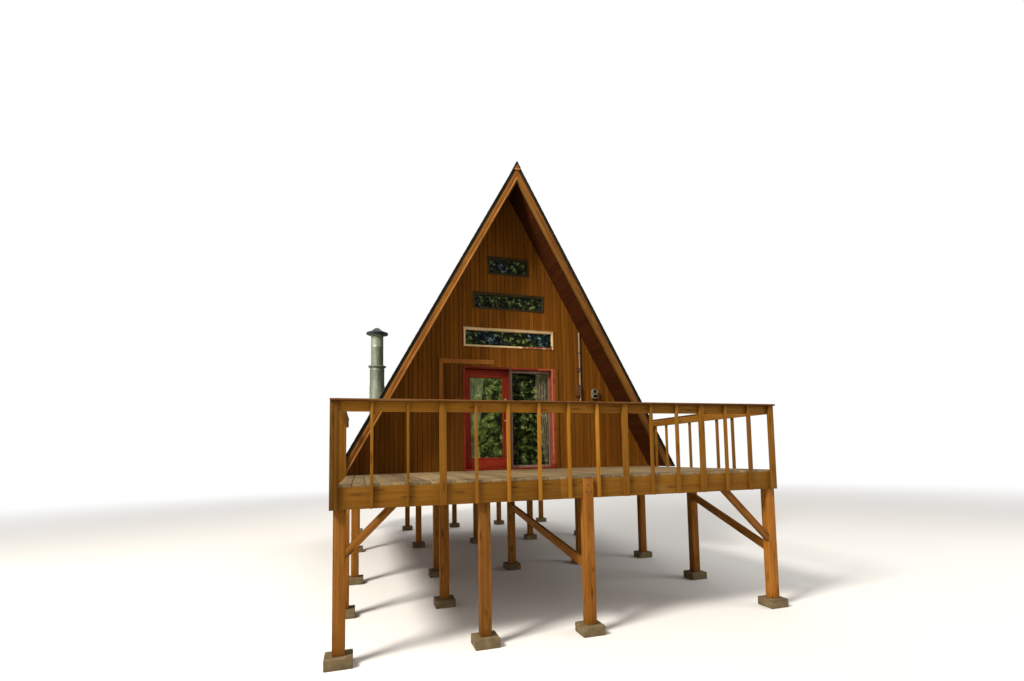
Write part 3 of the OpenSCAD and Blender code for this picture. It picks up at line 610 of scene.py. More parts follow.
def concrete():
    material, tree = start("rough concrete")
    spot = object_place(tree)
    sand = noise(tree, spot, 160.0, 3.0, 0.7)
    colour = ramp(tree, noise(tree, spot, 7.0, 7.0, 0.65), (0.32, (0.085, 0.057, 0.023)),
        (0.55, (0.155, 0.109, 0.047)), (0.75, (0.24, 0.182, 0.088)))
    colour = mix(tree, ramp(tree, sand, (0.35, 0.35), (0.55, 0.0)), colour, (0.06, 0.045, 0.022))
    pits = ramp(tree, cells(tree, spot, 45.0), (0.05, 0.0), (0.2, 1.0))
    return finish(material, colour, 0.92, 0.5, total(tree, pits, (sand, 0.4)), 0.6, 0.003)


def glass(name, alpha, gain, sky_reflection_at, leaf=(8, 8, 10), stops=(0.44, 0.52, 0.58, 0.67)):
    """Old window glass over the room behind it, with a painted reflection of trees and sky, dark and
    mottled in green and blue.
    """
    material, tree = start(name)
    spot = object_place(tree)
    # Painted reflection: trees in mottled green, and patches of sky in blue-white.
    tree_reflection = noise(tree, spot, leaf, 7.0, 0.76, 0.3)
    sky = noise(tree, spot, (1.7, 1.7, 2.4), 3.0)
    reflection_shades = []
    for shades in (
            ((0.0012, 0.0015, 0.0008), (0.010, 0.014, 0.004), (0.047, 0.070, 0.014), (0.20, 0.25, 0.10)),
            ((0.0010, 0.0015, 0.0020), (0.004, 0.008, 0.010), (0.026, 0.055, 0.062), (0.32, 0.40, 0.39))):
        bright = [tuple(min(c * gain, 0.9) for c in shade) for shade in shades]
        reflection_shades.append(ramp(tree, tree_reflection, *zip(stops, bright)))
    colour = mix(tree, ramp(tree, sky, (sky_reflection_at, 0.0), (sky_reflection_at + 0.08, 1.0)), *reflection_shades)
    return finish(material, colour, 0.05, 0.08, noise(tree, spot, 1.8, 2.0), 0.08, 0.01, {"Alpha": alpha})


def cloth(name, pale, dark):
    """Thin curtain cloth with a plain weave, and darker vertical streaks as painted shade for its folds."""
    material, tree = start(name)
    uv = object_place(tree, "UV")
    weave = calc(tree, "MULTIPLY", *(wave(tree, uv, 160.0, axis, Distortion=0.4) for axis in "XY"))
    # Painted shade: darker vertical streaks stand in for the shade in the folds.
    soft = noise(tree, uv, (6, 1.2, 1))
    colour = mix(tree, ramp(tree, soft, (0.35, 0.0), (0.65, 1.0)), dark, pale)
    colour = mix(tree, calc(tree, "MULTIPLY", weave, 0.25), colour, dimmed(dark, 0.6))
    return finish(material, colour, 0.9, 0.5, weave, 0.2, 0.0004, {"Sheen Weight": 0.3})


def stretch(material, colour, patchy=True, strength=0.9, **limits):
    """Gives a material another colour between limits on X, Y and Z, in patches or all over."""
    tree = material.node_tree
    base = tree.nodes[SHADER].inputs["Base Color"]
    under = base.links[0].from_socket
    place_of = add(tree, "SeparateXYZ", {"Vector": object_place(tree)}).outputs
    mask = strength
    if patchy:
        mask = ramp(tree, noise(tree, object_place(tree), 9.0, 5.0), (0.34, 0.0), (0.46, strength))
    for axis, ends in limits.items():
        for limit, test in zip(ends, ("GREATER_THAN", "LESS_THAN")):
            if limit is not None:
                mask = calc(tree, "MULTIPLY", mask, calc(tree, test, place_of[axis], limit))
    tree.links.new(mix(tree, mask, under, colour), base)


RAKE = wood("rake board stain", (0.32, 0.125, 0.017), (0.175, 0.062, 0.008), (0.070, 0.022, 0.004),
    worn=(0.13, 0.032, 0.007), worn_at=0.50, cracks=0.3, spread=0.15, patches=(2.4, 6, 6),
    tone_range=(0.6, 1.15))
# Worn edge colour made paler still as painted sunlight; used on the left rakes' inner strips and on the
# peak wedge.
WORN_SUNLIT_RAKE_EDGE = wood("worn rake edge with painted sunlight", (0.45, 0.205, 0.066), (0.31, 0.128, 0.034), (0.15, 0.052, 0.012),
    cracks=0.2, spread=0.16, patches=(2.4, 6, 6))
RAKE_TRIM = wood("rake trim stain", (0.24, 0.115, 0.022), (0.165, 0.074, 0.013), (0.085, 0.032, 0.005),
    cracks=0.2, spread=0.16, patches=(2.4, 6, 6))
SOFFIT = wood("dark soffit stain", (0.088, 0.024, 0.005), (0.060, 0.016, 0.0034), (0.036, 0.009, 0.002),
    worn=(0.075, 0.0165, 0.0042), worn_at=0.56, cracks=0.15, tone_range=(0.7, 1.25), shine=0.05)
SIDING = wood("siding stain", (0.205, 0.074, 0.0062), (0.138, 0.0475, 0.0038), (0.066, 0.0205, 0.0018),
    worn=(0.190, 0.055, 0.0048), worn_at=0.52, cracks=0.25, tone_range=(0.82, 1.16), shine=0.05)
DECK_WOOD = wood("stained rail wood", (0.27, 0.118, 0.013), (0.21, 0.086, 0.0085), (0.14, 0.053, 0.0055),
    worn=(0.27, 0.138, 0.030), worn_at=0.56, cracks=0.2, tone_range=(0.4, 1.4), shine=0.07, figure=0.07,
    spread=0.17, patches=(1.3, 6, 6), knots=0.7)
POST_WOOD = wood("stained post wood", (0.34, 0.137, 0.019), (0.25, 0.092, 0.0115), (0.14, 0.045, 0.006),
    worn=(0.37, 0.18, 0.050), worn_at=0.56, cracks=0.8, relief=0.002, tone_range=(0.5, 1.5), spread=0.17,
    patches=(1.3, 6, 6), knots=0.85)
CAP_WOOD = wood("dark rail cap", (0.135, 0.055, 0.011), (0.080, 0.029, 0.006), (0.038, 0.013, 0.003),
    worn=(0.19, 0.105, 0.040), worn_at=0.58, cracks=0.4, shine=0.06)
TRIM_WOOD = wood("orange trim stain", (0.34, 0.122, 0.024), (0.245, 0.082, 0.0145), (0.15, 0.045, 0.008),
    cracks=0.2, tone_range=(0.9, 1.08), shine=0.07)
GREY_WOOD = wood("weathered deck boards", (0.31, 0.225, 0.125), (0.20, 0.140, 0.072), (0.095, 0.064, 0.032),
    worn=(0.27, 0.145, 0.05), worn_at=0.55, cracks=0.6, roughness=(0.75, 0.95))
RAW_WOOD = wood("framing wood", (0.26, 0.135, 0.045), (0.185, 0.088, 0.026), (0.10, 0.044, 0.012),
    worn=(0.13, 0.075, 0.034), worn_at=0.5, cracks=0.5)
ROOM_WOOD = wood("floor boards", (0.30, 0.145, 0.045), (0.22, 0.094, 0.026), (0.12, 0.046, 0.013),
    cracks=0.3, roughness=(0.4, 0.6))
RED = paint("red door paint", (0.205, 0.0175, 0.0065), (0.27, 0.040, 0.014), (0.20, 0.075, 0.025),
    shine=0.08)
RED_FRAME = paint("red frame paint", (0.150, 0.0125, 0.0045), (0.22, 0.032, 0.010), (0.18, 0.065, 0.02),
    shine=0.08)
leaf_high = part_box("door_leaf")[1]
pane_low, pane_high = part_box("side_pane_frame")
# Painted shade: the frame over the door leaf, left of the side pane, is darker.
stretch(RED_FRAME, (0.080, 0.010, 0.0035), X=(None, pane_low.x), Z=(leaf_high.z, None))
# Painted sunlight: the right part of the frame is lighter, in patches.
stretch(RED_FRAME, (0.27, 0.055, 0.022), X=(pane_high.x - 0.30, None), Z=(FLOOR_Z + 0.1, None))
# Painted highlight: a pale strip along the frame just right of the side pane.
stretch(RED_FRAME, (0.38, 0.150, 0.080), False, 0.75, X=(pane_high.x, pane_high.x + 0.022),
    Z=(FLOOR_Z + 0.3, None))
stretch(RED_FRAME, (0.075, 0.034, 0.022), False, X=(leaf_high.x + 0.004, pane_low.x))
DARK_FRAME = paint("dark window paint", (0.030, 0.0205, 0.007), (0.056, 0.039, 0.015), (0.06, 0.025, 0.008),
    shine=0.08)
PALE_FRAME = paint("pale window paint", (0.60, 0.41, 0.20), (0.68, 0.49, 0.27), (0.24, 0.11, 0.04),
    wear=0.68)
stretch(PALE_FRAME, (0.22, 0.028, 0.012), X=(0.28, 0.93), Y=(None, 0.0), Z=(None, FLOOR_Z + 2.60))
EDGE_PAINT = paint("roof edge paint", (0.008, 0.0065, 0.0035), (0.018, 0.014, 0.007), (0.04, 0.02, 0.008),
    shine=0.04)
DRIP_METAL = metal("dull drip edge", (0.032, 0.026, 0.013), (0.010, 0.008, 0.004), metallic=0.0, shine=0.08)
GALVANISED = metal("galvanised flue", (0.27, 0.30, 0.225), (0.112, 0.130, 0.094), metallic=0.35,
    spangle=0.3, roughness=(0.45, 0.65), stain=(0.125, 0.13, 0.10))
FLUE_CAP = metal("dark flue cap", (0.070, 0.110, 0.125), (0.022, 0.036, 0.042), metallic=0.4)
# Painted shade: the brim is coloured darker than the cap above it.
SHADED_FLUE_BRIM = metal("flue brim with painted shade", (0.034, 0.056, 0.066), (0.010, 0.017, 0.020), metallic=0.3)
ALUMINIUM = metal("aluminium pane frame", (0.33, 0.19, 0.145), (0.17, 0.090, 0.070), metallic=0.4,
    roughness=(0.35, 0.55))
PALE_METAL = metal("pale coated metal", (0.245, 0.205, 0.14), (0.155, 0.12, 0.075), metallic=0.1,
    stain=(0.16, 0.10, 0.045), shine=0.2)
CONDUIT = metal("dull conduit", (0.34, 0.27, 0.185), (0.19, 0.135, 0.08), metallic=0.2)
BOX_PAINT = paint("brown box paint", (0.10, 0.034, 0.010), (0.17, 0.066, 0.022), (0.05, 0.02, 0.008))
DARK_METAL = metal("dark fixings", (0.12, 0.085, 0.06), (0.035, 0.025, 0.018), stain=(0.15, 0.05, 0.02))
BRASS = metal("worn brass", (0.62, 0.50, 0.30), (0.40, 0.29, 0.14), metallic=1.0, roughness=(0.22, 0.42))
SHINGLE = shingle()
CONCRETE = concrete()
WINDOW_GLASS = glass("gable window glass", 0.90, 1.5, 0.51, (11, 11, 11))
DOOR_GLASS = glass("entry glass", 0.34, 2.7, 0.70)
LEAF_GLASS = glass("door leaf glass", 0.38, 3.0, 0.80, (7, 7, 8), (0.36, 0.48, 0.56, 0.72))
GREEN_CLOTH = cloth("pale green curtain", (0.84, 0.95, 0.62), (0.54, 0.70, 0.38))
GREY_CLOTH = cloth("pale grey curtain", (0.52, 0.43, 0.30), (0.40, 0.32, 0.21))
RUBBER = paint("black pane seal", (0.012, 0.012, 0.012), (0.03, 0.03, 0.028), (0.05, 0.045, 0.04))


# Roof

def slope_place(side):
    """Place with X along the roof, Y down the slope and Z out of it, from the ridge on the sheathing."""
    end_y = roof_low.y if side == LEFT else roof_high.y
    return framed(Vector((0, end_y, APEX_Z)) - out(side) * BED, (0, -side, 0), down(side), out(side))


def shingle_course(shift, length, exposure):
    """One course of tabs, cut off at both ends of the roof."""
    tab = board((0, 0, 0), (TAB_W - TAB_SLOT, exposure + TAB_LAP, TAB_T), edge=0.0008)
    place(tab, Matrix.Rotation(math.atan(TAB_T / exposure), 4, "X"))
    place(tab, at(-shift, 0))
    row(tab, math.ceil(length / TAB_W) + 1, (TAB_W, 0, 0))
    cut(tab, (0, 0, 0), ACROSS, "inner")
    return cut(tab, (length, 0, 0), ACROSS, "outer")


def flue_cutter():
    hole_r = FLUE_R + 0.006
    return turned([(hole_r, FLOOR_Z), (hole_r, APEX_Z)], 32, at(*FLUE_AXIS.xy))


def open_for_flue(tabs):
    """Cuts the flue's hole through the few tabs that lie near it, one by one."""
    reach = FLUE_R + TAB_W + 0.055
    pick(tabs, lambda corners: all((co.xy - FLUE_AXIS.xy).length < reach for co in corners), "FACE")
    bpy.ops.mesh.select_linked()
    bpy.ops.mesh.separate(type="SELECTED")
    done()
    near = next(piece for piece in bpy.context.selected_objects if piece is not tabs)
    kept = [tabs]
    for part in loose_parts(near):
        cut_away(part, flue_cutter())
        if part.data.polygons:
            kept.append(part)
        else:
            bpy.data.objects.remove(part)
    return join("open_tabs", kept)


def shingle_side(side, name, node):
    length, exposure = roof_high.y - roof_low.y, SLOPE / COURSES
    first_tab, first_sheet = 0.02, 0.003
    courses = []
    for shift, start_y, count in ((0, 0, (COURSES + 1) // 2), (TAB_W / 2, exposure, COURSES // 2)):
        course = place(shingle_course(shift, length, exposure), at(0, start_y - TAB_LAP))
        courses.append(row(course, count, (0, 2 * exposure, 0)))
    tabs = cut(join(name, courses), (0, first_tab, 0), INWARD, "inner")
    grain = tabs.data.attributes["grain"]
    grain.data.foreach_set("vector", [c for v in tabs.data.vertices for c in v.co])
    sheet = board((0, first_sheet, -SHEATHING), (length, SLOPE, 0), edge=0.001, along=ACROSS)
    for piece in (tabs, sheet):
        place(piece, slope_place(side))
    if side == LEFT:
        tabs = open_for_flue(tabs)
        cut_away(sheet, flue_cutter())
    dress(tabs, name, "shingle", SHINGLE, node)
    dress(sheet, "sheathing_" + name, "shingle", EDGE_PAINT)


def ridge_shingles():
    """Folded pieces over the ridge, each lapping the next."""
    low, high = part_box("ridge_cap")
    wing, shown, thick, sunk = 0.145, 0.15, 0.0035, 0.0095
    lapped = shown * 1.35
    piece = fresh(bpy.ops.mesh.primitive_plane_add, (wing, lapped, 1), size=1,
        location=(wing / 2, lapped / 2, 0))
    edit(piece, "FACE")
    bpy.ops.mesh.extrude_region_move(TRANSFORM_OT_translate={"value": (0, 0, thick)})
    face_out()
    place(piece, Matrix.Rotation(PITCH, 4, "Y"))
    cut(piece, (0, 0, 0), ACROSS, "inner")
    twin = duplicate(piece)
    twin.scale = (-1, 1, 1)
    edit(place(twin))
    bpy.ops.mesh.flip_normals()
    done()
    piece = join("ridge_shingle", [piece, twin])
    place(piece, Matrix.Rotation(-math.atan(thick / shown), 4, "X"))
    length = high.y - low.y
    count = math.floor(length / shown)
    place(piece, at(0, low.y, high.z - sunk))
    row(piece, count, (0, (length - lapped) / (count - 1), 0))
    mark(piece, INWARD)
    grain = piece.data.attributes["grain"]
    turned_places = ((v.co.y, v.co.x + 20, v.co.z) for v in piece.data.vertices)
    grain.data.foreach_set("vector", [c for turned_place in turned_places for c in turned_place])
    dress(piece, "ridge_shingles", "shingle", SHINGLE, "ridge_cap")


def rake_boards():
    """Each rake is a stained board between a dark drip edge on top and a strip along its inner edge, with a
    flat trim board under the edge and the ends of the lining. The left strips are worn and paler still as
    painted sunlight, the right ones take the trim colour, and the right rakes take a lower tone as painted
    shade."""
    strip_w, drip_w, trim_t, trim_w, trim_back = 0.024, 0.036, 0.010, 0.082, 0.004
    for end in ("front", "back"):
        for side, word in SIDES:
            node = "rake_{}_{}".format(end, word)
            low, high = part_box(node)
            face, back = (low.y, trim_back) if end == "front" else (high.y, -trim_back)
            whole = copy_of(node)
            reach = [v.co.dot(out(side)) for v in whole.data.vertices]
            strip_line, drip_line = min(reach) + strip_w, max(reach) - drip_w
            for kind, finish_of, planes in (
                    ("board", RAKE, ((strip_line, "inner"), (drip_line, "outer"))),
                    # Painted sunlight: the left strips are paler than the right ones, which take the trim
                    # colour.
                    ("strip", WORN_SUNLIT_RAKE_EDGE if side == LEFT else RAKE_TRIM, ((strip_line, "outer"),)),
                    ("drip", DRIP_METAL, ((drip_line, "inner"),)),
                    ("trim", RAKE_TRIM, ((min(reach) + trim_t, "outer"),))):
                piece = duplicate(whole)
                for line, drop in planes:
                    cut(piece, out(side) * line, out(side), drop)
                if kind == "trim":
                    place(piece, Matrix.Translation(Vector((0, face + back, 0)) - out(side) * trim_t)
                        @ Matrix.Diagonal((1, trim_w / (high.y - low.y), 1, 1)) @ at(0, -face))
                ease(piece, 0.0015 if kind == "drip" else EDGE)
                # Painted shade: the right rake's pieces take a lower tone than the left ones.
                mark(piece, down(side), 0.85 if side == LEFT else 0.32)
                stands_for = [node] if kind == "board" else []
                dress(piece, node + "_" + kind, "rake_wood", finish_of, *stands_for)
            bpy.data.objects.remove(whole)


def peak():
    """The block where the rakes meet, over a wedge in the worn edge colour that is paler as painted
    sunlight.
    """
    block = copy_of("peak_block")
    wedge = duplicate(block)
    wedge_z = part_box("peak_block")[0].z + 0.028
    for piece, drop in ((block, "inner"), (wedge, "outer")):
        cut(piece, (0, 0, wedge_z), UP, drop)
        ease(piece, 0.0025)
        mark(piece, UP)
    dress(block, "peak_block_top", "rake_wood", RAKE, "peak_block")
    dress(wedge, "peak_block_wedge", "rake_wood", WORN_SUNLIT_RAKE_EDGE)


def sawn(node, material=RAW_WOOD, **settings):
    """A CAD node's solids as plain sawn timber."""
    dress(boards_of(node, **settings), node + "_sawn", "deck_wood", material, node)


def roof():
    """Shingles, rakes and peak outside, rafters and lining inside."""
    shingle_side(LEFT, "shingles_left", "roof_left")
    shingle_side(RIGHT, "shingles_right", "roof_right")
    ridge_shingles()
    rake_boards()
    peak()
    for side, word in SIDES:
        sawn("rafters_" + word, edge=0.002, along=down(side))
        node = "lining_" + word
        # Painted shade: the right lining boards take lower tones than the left ones.
        tones = (0.5, 1.0) if side == LEFT else (0.0, 0.4)
        lining = strips(copy_of(node), down(side), LINING_BOARD, 0.004, INWARD, tones)
        dress(lining, node + "_boards", "soffit", SOFFIT, node)
    sawn("ridge_beam", edge=0.004)


# Walls and windows

def walls():
    """Siding whose V between boards is darkened as painted shade, the floor and what carries it."""
    groove_w, groove_shade = 0.0085, -0.75
    for node in ("front_wall_left", "front_wall_right", "front_wall_upper", "back_wall"):
        siding = strips(copy_of(node), ACROSS, SIDING_BOARD, groove_w, UP, steady=True, groove=groove_shade)
        dress(siding, node + "_siding", "siding", SIDING, node)
    floor = strips(copy_of("cabin_floor"), ACROSS, LINING_BOARD, 0.0015, INWARD)
    dress(floor, "cabin_floor_boards", "deck_wood", ROOM_WOOD, "cabin_floor")
    for node in ("floor_joists", "floor_beams"):
        sawn(node)


def ring(low, high, bar, y0, y1, edge=0.001):
    """Four thin bars round the inside of an upright opening."""
    left, right = low.x + bar, high.x - bar
    return [board((x0, y0, z0), (x1, y1, z1), edge) for x0, x1, z0, z1 in (
        (low.x, left, low.z, high.z), (right, high.x, low.z, high.z),
        (left, right, low.z, low.z + bar), (left, right, high.z - bar, high.z))]


def windows():
    """Bevelled frames with a bead in front of the pane and a thin drip strip on top."""
    frame_w, bead, pane_back = 0.034, 0.008, 0.045
    rim = Vector((frame_w, 0, frame_w))
    drip_w, drip_t, drip_in, drip_out = 0.012, 0.010, 0.014, 0.012
    for node, material, slot in (("upper_windows", DARK_FRAME, "window_dark"),
            ("lower_window", PALE_FRAME, "window_pale")):
        frames = loose_parts(ease(copy_of(node), 0.004))
        beads = []
        for part in frames:
            mark(part)
            low, high = box_of(part)
            face, way = (low.y, 1) if low.y < 0 else (high.y, -1)
            y0, y1 = sorted((face + way * (pane_back - bead), face + way * pane_back))
            beads += ring(low + rim, high - rim, bead, y0, y1)
            y0, y1 = sorted((face - way * drip_out, face + way * drip_in))
            beads.append(board((low.x - drip_w, y0, high.z), (high.x + drip_w, y1, high.z + drip_t), 0.002))
        dress(join(node, frames), node + "_frames", slot, material, node)
        dress(join(node, beads), node + "_beads", slot, material)
    keep_node("window_glass", WINDOW_GLASS)


# Entry

def entry():
    """Painted frame and door leaf, the fixed pane beside them and the trim boards round both."""
    low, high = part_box("door_glass")
    leaf_y0, leaf_y1 = (corner.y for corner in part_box("door_leaf"))
    bead, rim_bead, sunk, proud = 0.014, 0.020, 0.004, 0.006
    solid("entry_frame", "_painted", "red_paint", RED_FRAME)
    solid("door_leaf", "_painted", "red_paint", RED, body="door")
    outer = Vector((0.022, 0, 0.022))
    beads = ring(low, high, bead, leaf_y0 + sunk, low.y, 0.003)
    beads += ring(low, high, bead, high.y, leaf_y1 - sunk, 0.003)
    beads += ring(low - outer, high + outer, rim_bead, leaf_y0 - proud, leaf_y0 + 0.001, 0.0025)
    dress(join("beads", beads), "door_beads", "red_paint", RED, body="door")
    keep_node("door_glass", LEAF_GLASS)

    solid("side_pane_frame", "_metal", "grey_metal", ALUMINIUM, 0.002)
    low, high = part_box("side_pane_glass")
    seal = ring(low, high, 0.009, pane_low.y + 0.010, low.y)
    dress(join("seal", seal), "side_pane_seal", "grey_metal", RUBBER)
    keep_node("side_pane_glass", DOOR_GLASS)

    trim_low, trim_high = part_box("entry_trim")
    # Painted shade: the siding between the trim and the frame, under the header board, is darkened.
    stretch(SIDING, (0.018, 0.0060, 0.0012), False, 0.42, X=(trim_low.x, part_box("entry_frame")[0].x),
        Y=(None, WALL_IN - 0.001), Z=(FLOOR_Z, trim_high.z))
    trim = loose_parts(ease(copy_of("entry_trim"), 0.0025))
    for part in trim:
        mark(part)
    dress(trim.pop(), "entry_side_board", "deck_wood", SIDING)
    dress(join("trim", trim), "entry_trim_boards", "deck_wood", TRIM_WOOD, "entry_trim")
    for node, material in (("door_knob", BRASS), ("door_lock", PALE_METAL)):
        dress(copy_of(node), node + "_turned", "knob_metal", material, node, body="door")
    solid("frame_hinges", "_metal", "grey_metal", ALUMINIUM, 0.0006, 1)
    solid("leaf_hinges", "_metal", "grey_metal", ALUMINIUM, 0.0006, 1, "door")


# Curtains

def fold_length(width, depth, folds):
    """Length of cloth in one row of folds of the given depth."""
    steps = folds * FOLD_STEPS
    points = [(width * i / steps, depth * math.sin(2 * math.pi * folds * i / steps))
        for i in range(steps + 1)]
    return sum(math.dist(a, b) for a, b in zip(points, points[1:]))


def fold_depth(width, flat, folds):
    """Depth of folds that takes up a flat width of cloth in a narrower row."""
    low, high = 0.0, flat
    for _ in range(30):
        middle = (low + high) / 2
        if fold_length(width, middle, folds) < flat:
            low = middle
        else:
            high = middle
    return low


def curtain(node, body, material, flat_w, folds, edges, rod):
    """A gathered curtain in the space of its CAD solid, on a rod. edges gives its left and right edge,
    from 0 to 1 of that space, at heights from 0 at the bottom to 1 at the top. rod holds the rod's radius,
    length and sides, and how far it starts left of that space and lies over it."""
    low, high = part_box(node)
    piece = fresh(bpy.ops.mesh.primitive_grid_add, x_subdivisions=folds * FOLD_STEPS,
        y_subdivisions=CLOTH_ROWS, size=1)
    width, height = high.x - low.x, high.z - low.z
    middle, clearance = (low.y + high.y) / 2, 0.003
    most = (high.y - low.y) / 2 - clearance
    for v in piece.data.vertices:
        u, t = v.co.x + 0.5, v.co.y + 0.5
        i = next(k for k in range(len(edges) - 1) if t <= edges[k + 1][0] + 1e-6)
        (t0, a0, b0), (t1, a1, b1) = edges[i], edges[i + 1]
        s = (t - t0) / (t1 - t0)
        s = s * s * (3 - 2 * s)
        left, right = a0 + (a1 - a0) * s, b0 + (b1 - b0) * s
        depth = min(most, fold_depth((right - left) * width, flat_w, folds))
        sway = 0.12 * math.sin(5 * t + 3 * u)
        v.co = Vector((low.x + (left + (right - left) * u) * width,
            middle + depth * math.sin(2 * math.pi * folds * u + sway),
            low.z + height * t))
    piece.data.update()
    modify(piece, "SOLIDIFY", thickness=CLOTH_T)
    dress(piece, node + "_cloth", "curtain", material, node, body=body)
    bpy.ops.object.shade_smooth()
    radius, length, sides, before, over = rod
    bar = turned([(radius, 0), (radius, length)], sides,
        aim((low.x - before, middle, high.z + over), ACROSS))
    dress(bar, node + "_rod", "grey_metal", DARK_METAL, body=body)
    return piece


def curtains():
    side = curtain("side_curtain", "cabin", GREY_CLOTH, 0.46, 6,
        [(0, 0.52, 0.93), (0.3, 0.34, 0.95), (0.75, 0.06, 0.98), (1, 0.14, 0.98)],
        (0.009, 0.62, 16, 0.10, 0.008))
    leaf = curtain("door_curtain", "door", GREEN_CLOTH, 0.40, 7,
        [(0, 0.04, 0.72), (0.25, 0.03, 0.55), (0.6, 0.02, 0.80), (1, 0.02, 0.98)],
        (0.005, 0.52, 12, 0.03, 0.004))


# Deck

def rails():
    """Posts, rail boards and caps on three sides of the deck, with the nails that show."""
    x0, x1 = fascia_low.x, fascia_high.x
    y, foot = fascia_low.y, fascia_low.z
    rail_low, rail_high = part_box("front_rail")
    front, corner_y = y - BALUSTER, y - BALUSTER + CORNER_POST
    top, cap_z = rail_high.z, rail_high.z - CAP_T
    board_z = cap_z - RAIL_BOARD_H
    cap_y = rail_low.y + CAP_W
    first, last = x0 - CORNER_POST / 2, x1 + BALUSTER - CORNER_POST / 2
    pitch = (last - first) / FRONT_BAYS
    nail_zs = (foot + 0.06, foot + 0.18, cap_z - RAIL_BOARD_H / 2)
    posts, nails = [], []
    for i in range(1, FRONT_BAYS):
        w = RAIL_POST if i in WIDE_LINES else THIN_LINES.get(i, BALUSTER)
        x = first + i * pitch
        tone = 0.4 if i in WIDE_LINES else 0.95 if i in PALE_LINES else random.uniform(0.3, 0.55)
        posts.append(board((x - w / 2, front, foot), (x + w / 2, y, cap_z), tone=tone))
        nails += [((x + random.uniform(-0.004, 0.004), front, z), FORWARD) for z in nail_zs]
    # Painted shade: the left corner post's boards take the darkest tone.
    for a, b in ((x0 - CORNER_POST, first - SLIT), (first + SLIT, x0)):
        posts.append(board((a, front, foot), (b, corner_y, cap_z), 0.004, tone=0.05))
    posts.append(board((x1 + BALUSTER - CORNER_POST, front, foot), (x1 + BALUSTER, y, cap_z), tone=0.4))
    posts.append(board((x1, y, foot), (x1 + BALUSTER, corner_y, cap_z), tone=0.3))
    corner_zs = (foot + 0.06, foot + 0.19, cap_z - 0.03, cap_z - 0.07)
    nails += [((x + dx, front, z), FORWARD) for x in (first, last) for z in corner_zs
        for dx in (-0.022, 0.022)]
    joint = first + 8 * pitch
    # Painted light: the left rail board takes a higher tone than the right one.
    for a, b, tone in ((x0, joint - SLIT, 0.7), (joint + SLIT, x1, 0.4)):
        posts.append(board((a, y, board_z), (b, y + RAIL_BOARD_T, cap_z), tone=tone))
    caps = [board((a, rail_low.y, cap_z), (b, cap_y, top), 0.004)
        for a, b in ((rail_low.x, joint - SLIT), (joint + SLIT, rail_high.x))]
    dress(join("rail", posts), "front_rail_boards", "deck_wood", DECK_WOOD, "front_rail")
    dress(join("cap", caps), "front_rail_cap", "deck_wood", CAP_WOOD)

    for side, word in SIDES:
        node = word + "_rail"
        low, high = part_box(node)
        edge = x0 if side == LEFT else x1
        length = high.y - corner_y
        posts = []
        a, b = sorted((edge, edge + side * BALUSTER))
        for i in range(1, SIDE_BAYS + 1):
            start_y = corner_y + i * (length - BALUSTER) / SIDE_BAYS
            tone = random.uniform(0.3, 0.6)
            posts.append(board((a, start_y, foot), (b, start_y + BALUSTER, cap_z), tone=tone))
            nails += [((edge + side * BALUSTER, start_y + BALUSTER / 2, z), (side, 0, 0)) for z in nail_zs]
        a, b = sorted((edge, edge - side * RAIL_BOARD_T))
        posts.append(board((a, y + RAIL_BOARD_T, board_z), (b, high.y, cap_z), tone=0.6))
        cap = board((low.x, cap_y, cap_z), (high.x, high.y, top), 0.004)
        dress(join(node, posts), node + "_boards", "deck_wood", DECK_WOOD, node)
        dress(cap, node + "_cap", "deck_wood", CAP_WOOD)
    dress(heads(nails, 0.0045, 0.0015), "rail_nails", "grey_metal", DARK_METAL)
    # Painted highlight: the top 10 mm of the caps are paler, in patches.
    stretch(CAP_WOOD, (0.165, 0.075, 0.026), Z=(top - 0.010, None))


def deck():
    """Weathered boards with their screws on sawn timber, and the posts and braces under it."""
    boards = boards_of("deck_boards", 0.004)
    dress(boards, "deck_boards_weathered", "deck_grey", GREY_WOOD, "deck_boards")
    joint_share, joint_gap = 0.441, 0.0015
    joint = fascia_low.x + joint_share * (fascia_high.x - fascia_low.x)
    front = [board(fascia_low, (joint - joint_gap, *fascia_high.yz), tone=0.35),
        board((joint + joint_gap, *fascia_low.yz), fascia_high, tone=0.42)]
    dress(join("fascia", front), "deck_front_boards", "deck_wood", DECK_WOOD, "deck_front_board")
    sawn("deck_side_boards", DECK_WOOD, tones=(0.3, 0.5))
    for node in ("deck_beams", "deck_joists"):
        sawn(node)
    posts = loose_parts(ease(copy_of("posts"), 0.004))
    # Painted light and shade: the front posts' tones are set one by one, darker at the left and lightest at
    # the right.
    front_light_tones = [0.25, 0.15, 0.45, 0.8]
    for post in posts:
        in_front = box_of(post)[0].y < fascia_high.y + 0.3
        mark(post, tone=front_light_tones.pop(0) if in_front and front_light_tones else random.uniform(0.2, 0.5))
    dress(join("posts", posts), "posts_sawn", "rake_wood", POST_WOOD, "posts")
    braces = loose_parts(ease(copy_of("deck_braces")))
    for part in braces:
        low, high = box_of(part)
        run = high - low
        if run.y < 0.2:
            run = Vector((run.x if part is braces[0] else -run.x, 0, run.z))
        mark(part, run.normalized(), random.uniform(0.2, 0.5))
    dress(join("braces", braces), "deck_braces_sawn", "rake_wood", POST_WOOD, "deck_braces")

    screw = heads([((0, 0, 0), UP)], 0.0045, 0.0006, 6)
    low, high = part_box("deck_boards")
    count = round((high.x - low.x + DECK_GAP) / DECK_PITCH)
    pitch = (high.x - low.x + DECK_GAP) / count
    rows, inset = 9, 0.06
    place(screw, at(low.x + 0.028, low.y + 0.02, high.z))
    row(screw, 2, (pitch - inset, 0, 0))
    row(screw, count, (pitch, 0, 0))
    row(screw, rows, (0, (high.y - low.y - inset) / (rows - 1), 0))
    dress(screw, "deck_screws", "grey_metal", DARK_METAL)


